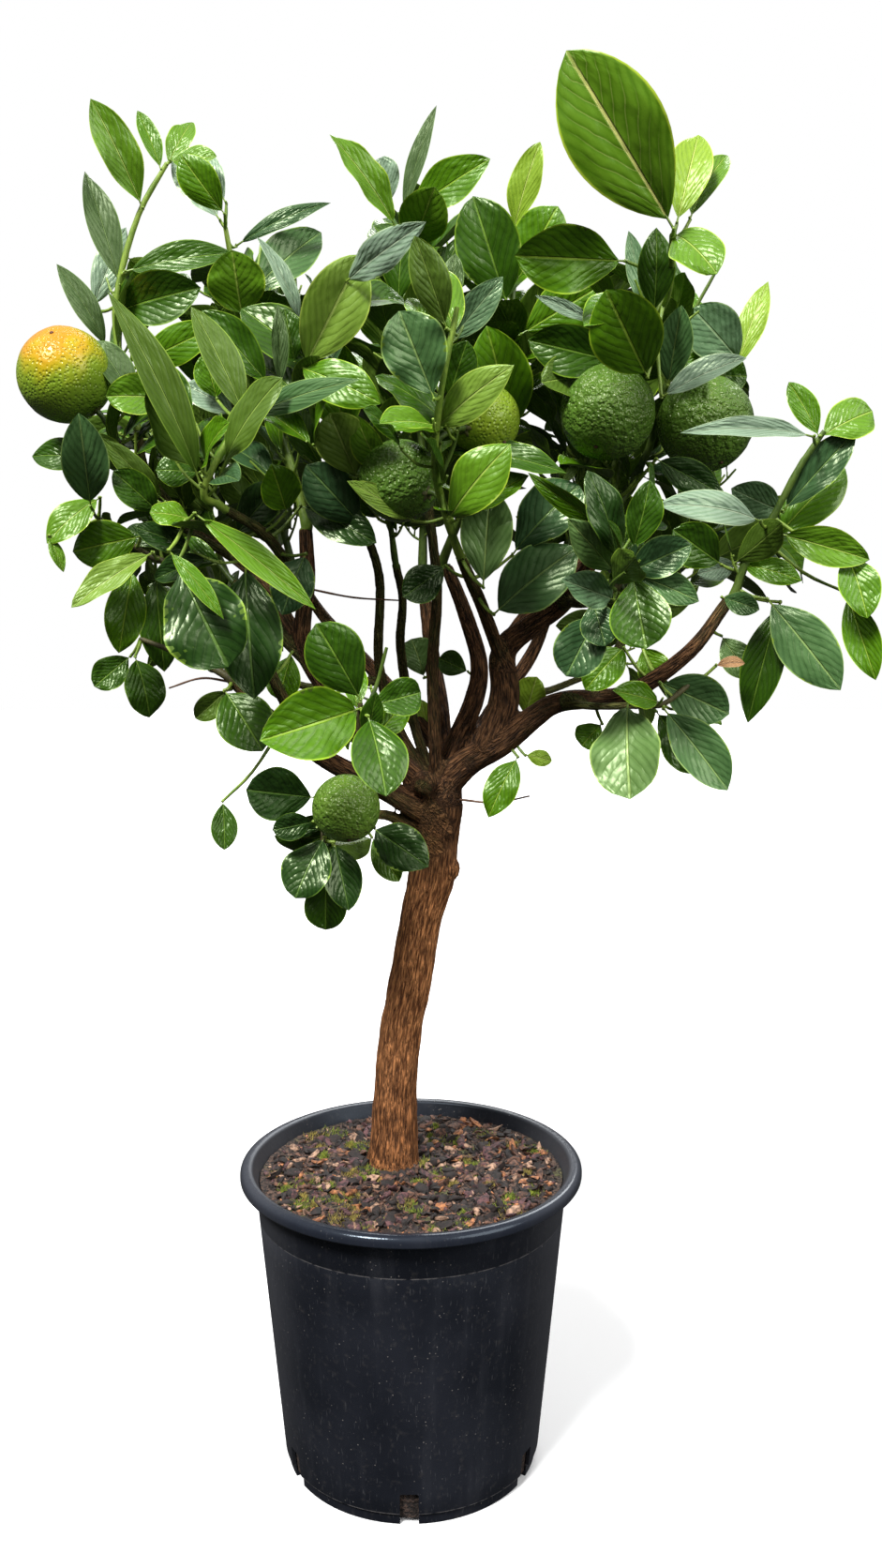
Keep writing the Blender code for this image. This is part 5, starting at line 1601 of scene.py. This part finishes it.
def fruit_shape(fruit, seed):
    """A fruit's points and faces, each point's ripeness and each corner's place on the map."""
    axis = Vector(fruit.way).normalized()
    across = axis.orthogonal().normalized()
    other = axis.cross(across)
    centre, radius = mm(fruit.centre), fruit.radius * MM
    _, hold = crown.hold(fruit)
    verts, ripe = [], []

    def put(polar, turn):
        way = (axis * math.cos(polar)
               + (across * math.cos(turn) + other * math.sin(turn)) * math.sin(polar))
        blossom = math.exp(-(polar / 0.16) ** 2)
        dimple = math.exp(-((way - hold).length / 0.22) ** 2)
        shift = Vector((seed * 3.7, 0, 0))
        lumps = noise.noise(way * 2.2 + shift) * 0.012
        bumps = noise.noise(way * 9 + shift) * 0.006 + noise.noise(way * 19 + shift) * 0.004
        size = 1.0 - 0.05 * blossom - 0.05 * dimple + lumps + bumps * fruit.bumps
        verts.append(centre + way * radius * size)
        glow = noise.noise(way * 2.6 + shift) * 0.5 + 1.0
        ripe.append(fruit.ripe + fruit.blush * max(0.0, 0.5 + 0.5 * way.dot(axis)) ** 2.8 * glow)

    put(0.0, 0.0)
    for ring in range(1, FRUIT_RINGS):
        for step in range(FRUIT_ROUND):
            put(math.pi * ring / FRUIT_RINGS, math.tau * step / FRUIT_ROUND)
    put(math.pi, 0.0)
    column, row = seed % FRUIT_CELLS, seed // FRUIT_CELLS
    places = [((column + 0.02 + 0.96 * step / FRUIT_ROUND) / FRUIT_CELLS,
               (row + 0.02 + 0.96 * ring / FRUIT_RINGS) / FRUIT_CELLS)
              for face in ring_corners(FRUIT_RINGS - 1, FRUIT_ROUND) for ring, step in face]
    return verts, ring_faces(FRUIT_RINGS - 1, FRUIT_ROUND), ripe, places


# %% Finish of the fruit
def fruit_finish():
    finish = Finish("fruit_skin")
    ripe = finish.node("Attribute", {"attribute_name": "ripe"}, output="Fac")
    place = finish.object_place()
    mottle = finish.clouds(place, 95.0, 4.0)
    glands = finish.cells(place, 430.0)
    ripe = ripe + (mottle - 0.5) * 0.35
    green = 1 - ripe.rise(0.1, 0.8)
    pits = finish.clouds(place, 250.0, 2.0)
    skin = finish.mix(ripe.rise(0.0, 1.0), (0.086, 0.180, 0.022), (0.215, 0.335, 0.020))
    skin = finish.mix(ripe.rise(0.75, 1.65), skin, (0.470, 0.350, 0.008))
    skin = finish.mix(ripe.rise(1.4, 2.2), skin, (0.620, 0.240, 0.006))
    pores = 1 - glands.rise(0.10, 0.42)
    skin = finish.mix(pores * 0.22, skin, (0.34, 0.44, 0.10))
    finish.shade({"Base Color": skin, "Roughness": mottle * 0.14 + 0.20,
                  "Specular IOR Level": 0.46, "Specular Tint": (1.0, 0.97, 0.75)})
    finish.bump(glands.rise(0.0, 0.6) * 0.6 + mottle * 0.6 + pits * green * 3.6, 0.9 * MM)
    return finish


def plain_wood(name, light, dark):
    """Dry, dull plant matter in two browns."""
    finish = Finish(name)
    patches = finish.clouds(finish.object_place(), 400.0, 3.0)
    finish.shade({"Base Color": finish.mix(patches.rise(0.35, 0.65), dark, light),
                  "Roughness": patches * 0.1 + 0.72})
    finish.bump(patches, 0.3 * MM)
    return finish


# %% Join the fruit and their stalk ends
fruit_heap, ripeness, fruit_places = Heap(), [], []
for seed, fruit in enumerate(FRUITS):
    shape = fruit_shape(fruit, seed)
    fruit_heap.add(shape[:2], 0)
    ripeness += shape[2]
    fruit_places += shape[3]
fruit_piece = add_piece("fruit", fruit_heap, [fruit_finish()],
                        tuple({fruit.mass for fruit in FRUITS}))
fruit_piece.data.attributes.new("ripe", "FLOAT", "POINT").data.foreach_set("value", ripeness)
fruit_map = fruit_piece.data.uv_layers.new(name="OFBake")
fruit_map.data.foreach_set("uv", [number for place in fruit_places for number in place])

# %% The star of sepals where the stalk enters, and the scar at the blossom end
SEPALS = 5


def sepal_star(centre, way, radius):
    """Five small thick lobes round a disc, on the skin of a fruit."""
    across = way.orthogonal().normalized()
    other = way.cross(across)
    steps = SEPALS * 6
    verts = [centre + way * 1.3 * MM]
    for ring, (out, up) in enumerate(((0.55, 1.1), (1.0, 0.2), (0.7, -1.4))):
        for step in range(steps):
            turn = math.tau * step / steps
            lobe = 1 + (0.34 * math.cos(SEPALS * turn) if ring else 0.12 * math.cos(SEPALS * turn))
            side = across * math.cos(turn) + other * math.sin(turn)
            verts.append(centre + side * radius * out * lobe + way * up * MM)
    verts.append(centre - way * 2.0 * MM)
    return verts, ring_faces(3, steps)


ends = Heap()
for fruit in FRUITS:
    centre, radius = mm(fruit.centre), fruit.radius * MM
    _, hold = crown.hold(fruit)
    ends.add(sepal_star(centre + hold * (radius * 0.955), hold, 4.2 * MM), 0)
    axis = Vector(fruit.way).normalized()
    ends.add(ball(centre + axis * (radius * 0.945), 1.5 * MM, 2), 1)
add_piece("fruit_ends", ends, [plain_wood("sepals", (0.16, 0.15, 0.05), (0.07, 0.08, 0.03)),
                               plain_wood("blossom_scar", (0.14, 0.06, 0.03), (0.05, 0.02, 0.015))])


# %% [markdown]
# ## The pot
#
# A nursery pot is blown or pressed from recycled black plastic. Its wall tapers, its rim rolls
# outwards, a faint line runs round under the rim, and the foot steps in and has slots for water to
# drain. The section is turned into a solid with more steps than the eye can see, and the slots are
# cut with one Boolean, as they are in the solid it replaces.

# %% The pot's section
POT_HEIGHT = 225
RIM_RADIUS = 125
RIM_INNER_RADIUS = 115.4
RIM_DEPTH = 8.5
NECK_RADIUS = 114.3
FOOT_RADIUS = 94.3
FOOT_HEIGHT = 9
FOOT_STEP = 1.6
BAND_DROP = 35.5
BAND_STEP = 0.35
WALL = 2.6
FLOOR = 4.0
SLOTS = 6
SLOT_WIDTH = 13
SLOT_HEIGHT = 25
POT_ROUND = 180
WALL_STEPS = 14


def wall_radius(height):
    """The outside radius of the pot's wall at a height, both in millimetres."""
    top = POT_HEIGHT - RIM_DEPTH
    return FOOT_RADIUS + (NECK_RADIUS - FOOT_RADIUS) * height / top


def arc(middle, radii, first, last, steps):
    """Points of a quarter or half ellipse, between two angles in degrees."""
    turns = [math.radians(first + (last - first) * i / steps) for i in range(steps + 1)]
    return [(middle[0] + radii[0] * math.cos(turn), middle[1] + radii[1] * math.sin(turn))
            for turn in turns]


def pot_section():
    """From the middle of the underside round to the middle of the floor."""
    neck, band = POT_HEIGHT - RIM_DEPTH, POT_HEIGHT - BAND_DROP
    foot = wall_radius(0) - FOOT_STEP
    section = [(0, 0), (foot - 1, 0)]
    section += arc((foot - 0.8, 0.8), (0.8, 0.8), -90, 0, 3)[1:]
    section += [(foot + 0.4, FOOT_HEIGHT - 1.2), (wall_radius(FOOT_HEIGHT) - 0.2, FOOT_HEIGHT - 0.2)]
    section += [(wall_radius(z), z) for z in np.linspace(FOOT_HEIGHT + 0.4, band - 1.6, WALL_STEPS)]
    section += [(wall_radius(band) - BAND_STEP, band - 0.9), (wall_radius(band) - BAND_STEP, band - 0.3)]
    section += [(wall_radius(band), band + 0.4), (NECK_RADIUS, neck - 1.2)]
    section += arc((RIM_RADIUS - 1.6, neck + 1.6), (1.6, 1.6), -90, 0, 4)
    section += arc((RIM_RADIUS - 4.6, POT_HEIGHT - 4.6), (4.6, 4.6), 0, 90, 8)
    section += arc((RIM_INNER_RADIUS + 2.6, POT_HEIGHT - 3.0), (2.6, 2.6), 90, 180, 5)
    section += [(NECK_RADIUS - WALL, neck - 1), (wall_radius(FLOOR) - WALL, FLOOR)]
    section.append((0, FLOOR))
    return section


def turned(section, steps):
    """A solid of revolution from a section that goes up, from the axis back to the axis."""
    verts = [mm((0, 0, section[0][1]))]
    for radius, height in section[1:-1]:
        for j in range(steps):
            turn = math.tau * (j + 0.5) / steps
            verts.append(mm((radius * math.cos(turn), radius * math.sin(turn), height)))
    verts.append(mm((0, 0, section[-1][1])))
    faces = ring_faces(len(section) - 2, steps)
    return verts, [(face[0], *face[:0:-1]) for face in faces]       # turned to face out


# %% Cut the drain slots
def slot_shape(index):
    """A block with small round corners, through the foot and the edge of the floor."""
    half, straight = SLOT_WIDTH / 2, SLOT_HEIGHT - 1.5
    outline = [(-half, -1), (half, -1)] + arc((half - 1.5, straight), (1.5, 1.5), 0, 90, 4)
    outline += arc((1.5 - half, straight), (1.5, 1.5), 90, 180, 4)
    count = len(outline)
    turn = Matrix.Rotation(math.tau * index / SLOTS, 3, "Z")
    verts = [turn @ mm((x, -reach, z)) for reach in (FOOT_RADIUS - 9, FOOT_RADIUS + 9)
             for x, z in outline]
    faces = [tuple(reversed(range(count))), tuple(range(count, 2 * count))]
    faces += [(j, (j + 1) % count, (j + 1) % count + count, j + count) for j in range(count)]
    return verts, faces


def cut_slots(piece):
    """One Boolean for all the slots, applied."""
    cutters = Heap()
    for index in range(SLOTS):
        cutters.add(slot_shape(index))
    mesh = cutters.mesh("slots")
    work = bmesh.new()
    work.from_mesh(mesh)
    bmesh.ops.recalc_face_normals(work, faces=work.faces)
    work.to_mesh(mesh)
    work.free()
    cutter = put_in_scene("slots", mesh)
    cut = piece.modifiers.new("slots", "BOOLEAN")
    cut.operation = "DIFFERENCE"
    cut.object = cutter
    graph = bpy.context.evaluated_depsgraph_get()
    result = bpy.data.meshes.new_from_object(piece.evaluated_get(graph))
    piece.modifiers.clear()
    piece.data = result
    result.shade_smooth()
    result.set_sharp_from_angle(angle=POT_SHARP_FROM)
    bpy.data.objects.remove(cutter)


# %% Finish of the plastic
def plastic_finish():
    """Blue-black plastic with dust in streaks, pale specks and fine upright scratches."""
    finish = Finish("black_plastic")
    place = finish.object_place()
    upright = finish.stretched(place, (1.0, 1.0, 0.10))
    streaks = finish.clouds(upright, 75.0, 4.0)
    scratches = finish.clouds(finish.stretched(place, (1.0, 1.0, 0.12)), 900.0, 2.0)
    patches = finish.clouds(place, 14.0, 4.0)
    dust = finish.clouds(place, 210.0, 5.0)
    specks = 1 - finish.cells(place, 260.0).rise(0.05, 0.16)
    specks = specks * finish.clouds(place, 50.0).rise(0.48, 0.66)
    out_x, out_y, height = finish.split(place)
    lines = 1 - abs(height - (POT_HEIGHT - BAND_DROP) * MM).rise(0.0002, 0.0007)
    lines = lines + (1 - abs(height - FOOT_HEIGHT * MM).rise(0.0003, 0.0008))
    colour = finish.mix(patches.rise(0.3, 0.7), (0.0060, 0.0068, 0.0100), (0.0130, 0.0142, 0.0195))
    colour = finish.mix(streaks.rise(0.50, 0.78) * 0.30, colour, (0.036, 0.037, 0.044))
    colour = finish.mix(scratches.rise(0.64, 0.74) * 0.30, colour, (0.090, 0.090, 0.095))
    colour = finish.mix(specks * 0.75, colour, (0.24, 0.22, 0.20))
    colour = finish.mix(dust.rise(0.55, 0.8) * 0.16, colour, (0.10, 0.09, 0.08))
    colour = finish.mix(lines * dust.rise(0.3, 0.6) * 0.7, colour, (0.16, 0.15, 0.15))
    # Painted sheen: the pot is painted lighter towards its left and right sides, broken up by the
    # scratches, as grazing light brightens them.
    painted_side_sheen = abs(out_x).rise(0.068, 0.112) * (scratches * 0.5 + 0.5)
    colour = finish.mix(painted_side_sheen * 0.8, colour, (0.062, 0.063, 0.070))
    rough = patches * 0.14 + streaks * 0.14 + 0.30
    lip = ((out_x ** 2 + out_y ** 2) ** 0.5).rise(0.1165, 0.1200)
    # Painted sheen: the outer lip is painted a lighter blue-grey, as the sky's reflection would show
    # there; its lower roughness is its own gloss.
    colour = finish.mix(lip * 0.5, colour, (0.018, 0.022, 0.032))
    finish.shade({"Base Color": colour, "Roughness": rough * (1 - lip * 0.62),
                  "Specular IOR Level": 0.30, "Specular Tint": (0.75, 0.88, 1.0)})
    finish.bump(dust * 0.5 + patches * 2.0 + scratches * 0.2, 0.22 * MM)
    return finish


pot_heap = Heap()
pot_heap.add(turned(pot_section(), POT_ROUND))
pot_piece = add_piece("pot_shell", pot_heap, [plastic_finish()], ("pot",))
cut_slots(pot_piece)


# %% [markdown]
# ## Compost, bark chips and moss
#
# The compost lies 11 mm under the rim. It is a crumbly bed with hollows, scattered with chips of
# bark, husks and dead bits of leaf, and moss has settled on it in cushions. The bed is one turned
# solid whose top is a relief. The chips are small curled flakes in five browns, and the moss is
# thousands of short pointed blades.

# %% The bed of compost
BED_ROUND = 180
BED_RINGS = 76
BED_LIFT = 0.5                  # above the flat cut of the solid, as loose compost lies
BED_EDGE = wall_radius(SOIL_TOP) - WALL - GAP - 0.4
BED_BASE = wall_radius(FLOOR) - WALL - GAP - 0.4
FOOT_X, FOOT_Y = TRUNK[0][0][:2]


def off_trunk(x, y):
    """How far a place lies outside the foot of the trunk."""
    return math.hypot(x - FOOT_X, y - FOOT_Y) - TRUNK[0][1]


def bed_height(x, y):
    """The height of the compost's top at a place, all in millimetres."""
    spot = Vector((x, y, 0))
    away = max(0.0, off_trunk(x, y))
    free = min(away / 14, 1.0)
    edge = min(max(BED_EDGE - math.hypot(x, y), 0.0) / 10, 1.0)
    mounds = noise.noise(spot / 26) * 2.8 + noise.noise(spot / 11 + Vector((7, 0, 0))) * 2.6
    crumbs = abs(noise.noise(spot / 5.0)) * 3.6 + noise.noise(spot / 2.2) * 0.8
    bank = 1.6 * math.exp(-away / 10)
    return SOIL_TOP + BED_LIFT + (mounds * free + crumbs) * (0.4 + 0.6 * edge) + bank


def compost_bed():
    section = [(0, FLOOR + GAP), (BED_BASE, FLOOR + GAP)]
    section += [(BED_BASE + (BED_EDGE - BED_BASE) * i / 24, FLOOR + 1 + (SOIL_TOP - FLOOR - 3) * i / 24)
                for i in range(25)]
    section += [(BED_EDGE * (1 - i / BED_RINGS), SOIL_TOP) for i in range(BED_RINGS)]
    section.append((0, SOIL_TOP))
    verts, faces = turned(section, BED_ROUND)
    for vert in verts:
        if vert.z > (SOIL_TOP - 1) * MM:
            vert.z = bed_height(vert.x / MM, vert.y / MM) * MM
    return verts, faces


def compost_finish():
    finish = Finish("compost")
    place = finish.object_place()
    crumbs = finish.clouds(place, 420.0, 5.0)
    patches = finish.clouds(place, 60.0, 4.0)
    moss = finish.clouds(place, 34.0, 3.0)
    _, _, height = finish.split(place)
    # Partly painted shade: the crumbs are darkest where the bump sinks, partly the compost's own dark
    # crumbs and partly painted shade in the hollows.
    colour = finish.mix(crumbs.rise(0.40, 0.68), (0.005, 0.003, 0.002), (0.120, 0.070, 0.048))
    colour = finish.mix(patches.rise(0.5, 0.7) * 0.5, colour, (0.034, 0.016, 0.012))
    # Painted shade: the compost is painted darker towards the bottom of the pot, where it shows through
    # the drain slots in the pot's shade.
    colour = finish.mix((1 - height.rise(0.02, 0.12)) * 0.6, colour, (0.012, 0.007, 0.005))
    green = moss.rise(0.55, 0.68) * crumbs.rise(0.40, 0.60) * height.rise(0.196, 0.202)
    colour = finish.mix(green * 0.65, colour, (0.085, 0.105, 0.022))
    finish.shade({"Base Color": colour, "Roughness": crumbs * 0.1 + 0.82})
    finish.bump(crumbs, 3.0 * MM)
    return finish


bed_heap = Heap()
bed_heap.add(compost_bed())
add_piece("compost", bed_heap, [compost_finish()], ("soil",))

# %% Chips of bark and husk
CHIPS = 3200
CHIP_SIZE = (1.6, 7.5)          # half lengths
CHIP_COLOURS = (0, 0, 0, 1, 1, 1, 1, 1, 1, 2, 2, 3, 4)     # brown, dark, plum, tan and orange


def bed_spot(rng, margin):
    """A random place on the compost that isn't under the trunk."""
    while True:
        out = (BED_EDGE - margin) * math.sqrt(rng.random())
        turn = rng.uniform(0, math.tau)
        x, y = out * math.cos(turn), out * math.sin(turn)
        if off_trunk(x, y) > 2:
            return x, y


def chip(rng):
    """A curled, knocked-about flake on the compost, flat or half on its edge."""
    least, most = CHIP_SIZE
    length = least + (most - least) * rng.random() ** 2.6
    size = Vector((length, length * rng.uniform(0.3, 0.75), length * rng.uniform(0.10, 0.38)))
    curl = rng.uniform(-0.5, 0.5) * length
    x, y = bed_spot(rng, length + 1)
    tilt = Matrix.Rotation(rng.gauss(0, 0.7), 3, "X") @ Matrix.Rotation(rng.gauss(0, 0.4), 3, "Y")
    turn = Matrix.Rotation(rng.uniform(0, math.tau), 3, "Z") @ tilt
    centre = Vector((x, y, bed_height(x, y) + size.z * rng.uniform(0.1, 0.9)))
    verts, faces = ball(Vector(), 1.0, 1)
    moved = []
    for vert in verts:
        rough = Vector([axis * rng.uniform(0.7, 1.25) for axis in vert])
        flake = Vector([a * b for a, b in zip(rough, size)]) + UP * curl * rough.x ** 2
        moved.append((centre + turn @ flake) * MM)
    return moved, faces


chip_rng = random.Random(23)
chips = Heap()
for _ in range(CHIPS):
    chips.add(chip(chip_rng), chip_rng.choice(CHIP_COLOURS))
add_piece("bark_chips", chips,
          [plain_wood("chip_brown", (0.150, 0.070, 0.042), (0.020, 0.010, 0.007)),
           plain_wood("chip_dark", (0.020, 0.011, 0.009), (0.004, 0.003, 0.002)),
           plain_wood("chip_plum", (0.110, 0.046, 0.046), (0.018, 0.008, 0.009)),
           plain_wood("chip_tan", (0.430, 0.260, 0.170), (0.110, 0.062, 0.040)),
           plain_wood("chip_orange", (0.400, 0.160, 0.060), (0.120, 0.045, 0.020))])

# %% Cushions of moss
CUSHIONS = 66
MOSS_BLADES = 110
BLADE_HEIGHT = (1.8, 4.6)


def moss_blade(rng, spot, height):
    """A thin three-sided spike."""
    way = (UP + Vector((rng.uniform(-0.8, 0.8), rng.uniform(-0.8, 0.8), 0))).normalized()
    across = way.orthogonal().normalized()
    other = way.cross(across)
    foot = [spot + (across * math.cos(turn) + other * math.sin(turn)) * 0.42 - way * 0.5
            for turn in (0.0, 2.1, 4.2)]
    verts = [point * MM for point in foot + [spot + way * height]]
    return verts, [(0, 2, 1), (0, 1, 3), (1, 2, 3), (2, 0, 3)]


moss_rng = random.Random(31)
moss = Heap()
for _ in range(CUSHIONS):
    x, y = bed_spot(moss_rng, 9)
    size, slot = moss_rng.uniform(3, 9), moss_rng.choice((0, 0, 1))
    for _ in range(MOSS_BLADES):
        a, b = x + moss_rng.gauss(0, size / 2), y + moss_rng.gauss(0, size / 2)
        if math.hypot(a, b) < BED_EDGE - 2 and off_trunk(a, b) > 1:
            spot = Vector((a, b, bed_height(a, b)))
            moss.add(moss_blade(moss_rng, spot, moss_rng.uniform(*BLADE_HEIGHT)), slot)
add_piece("moss", moss, [plain_wood("moss_green", (0.250, 0.300, 0.030), (0.070, 0.100, 0.012)),
                         plain_wood("moss_olive", (0.360, 0.280, 0.060), (0.110, 0.088, 0.022))])


# %% [markdown]
# ## Floor and light
#
# Leaves read best under a soft light from above: their upper faces catch it as a pale sheen, and
# the undersides stay dark. A key light from over the left shoulder does that, a wide one fills in
# from the right, and a third keeps the back from going black. The room is white to look at but
# lights mostly from overhead, and the floor throws no light back up, or every leaf would go flat.

# %% Floor
def floor_finish():
    finish = Finish("studio_floor")
    finish.shade({"Base Color": (0.86, 0.86, 0.86), "Roughness": 0.9})
    return finish


FLOOR_SIZE = 14.0
floor_sheet = Heap()
floor_sheet.add(([Vector((x, y, 0)) * FLOOR_SIZE / 2 for x, y in ((-1, -1), (1, -1), (1, 1), (-1, 1))],
                 [(0, 1, 2, 3)]))
floor_mesh = floor_sheet.mesh("studio_floor")
floor_mesh.materials.append(floor_finish().material)
studio_floor = put_in_scene("studio_floor", floor_mesh)
studio_floor.visible_diffuse = False    # it takes shadows but throws no light back up
studio_floor.visible_glossy = False
studio_floor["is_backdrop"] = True


# %% Lights
def sun(name, way, angle, strength):
    """Light from one direction, as soft as its angle in degrees is wide."""
    light = bpy.data.lights.new(name, "SUN")
    light.angle = math.radians(angle)
    light.energy = strength
    put_in_scene(name, light).rotation_euler = Vector(way).to_track_quat("-Z", "Y").to_euler()


sun("key", (0.40, 0.60, -0.90), 16, 5.2)
sun("fill", (-0.85, 0.65, -0.55), 40, 1.9)
sun("back", (-0.2, -0.9, -0.8), 30, 1.6)


# %% Surroundings
def studio_world(name, seen, overhead, below):
    """A plain white room that is seen as white, but lights the tree mostly from overhead."""
    world = bpy.data.worlds.new(name)
    world.use_nodes = True
    nodes = world.node_tree.nodes
    backdrop, room = nodes["Background"], nodes.new("ShaderNodeBackground")
    backdrop.inputs["Strength"].default_value = seen
    backdrop.inputs["Color"].default_value = (1.0, 1.0, 1.0, 1.0)
    way = nodes.new("ShaderNodeTexCoord")
    parts = nodes.new("ShaderNodeSeparateXYZ")
    rise = nodes.new("ShaderNodeMapRange")
    rise.interpolation_type = "SMOOTHSTEP"
    limits = {"From Min": -0.1, "From Max": 0.9, "To Min": below, "To Max": overhead}
    for limit, value in limits.items():
        rise.inputs[limit].default_value = value
    which = nodes.new("ShaderNodeLightPath")
    mix = nodes.new("ShaderNodeMixShader")
    for output, socket in (
            (way.outputs["Generated"], parts.inputs[0]),
            (parts.outputs["Z"], rise.inputs["Value"]),
            (rise.outputs[0], room.inputs["Strength"]),
            (which.outputs["Is Camera Ray"], mix.inputs[0]),
            (room.outputs[0], mix.inputs[1]),
            (backdrop.outputs[0], mix.inputs[2]),
            (mix.outputs[0], nodes["World Output"].inputs["Surface"])):
        world.node_tree.links.new(output, socket)
    return world


bpy.context.scene.world = studio_world("studio", 1.0, 0.9, 0.06)


# %% [markdown]
# ## Both sizes, and the view
#
# The dressed tree should fill the same box as the solids. Both boxes are printed side by
# side, and the last line sets the view to Standard.

# %% Print both boxes
seen_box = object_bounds()
for axis, low, high, near, far in zip("XYZ", *cad_box, *seen_box):
    print(f"{axis}: solids {low:.3f} to {high:.3f}, dressed {near:.3f} to {far:.3f}")

# %% Set the view
bpy.context.scene.view_settings.view_transform = "Standard"
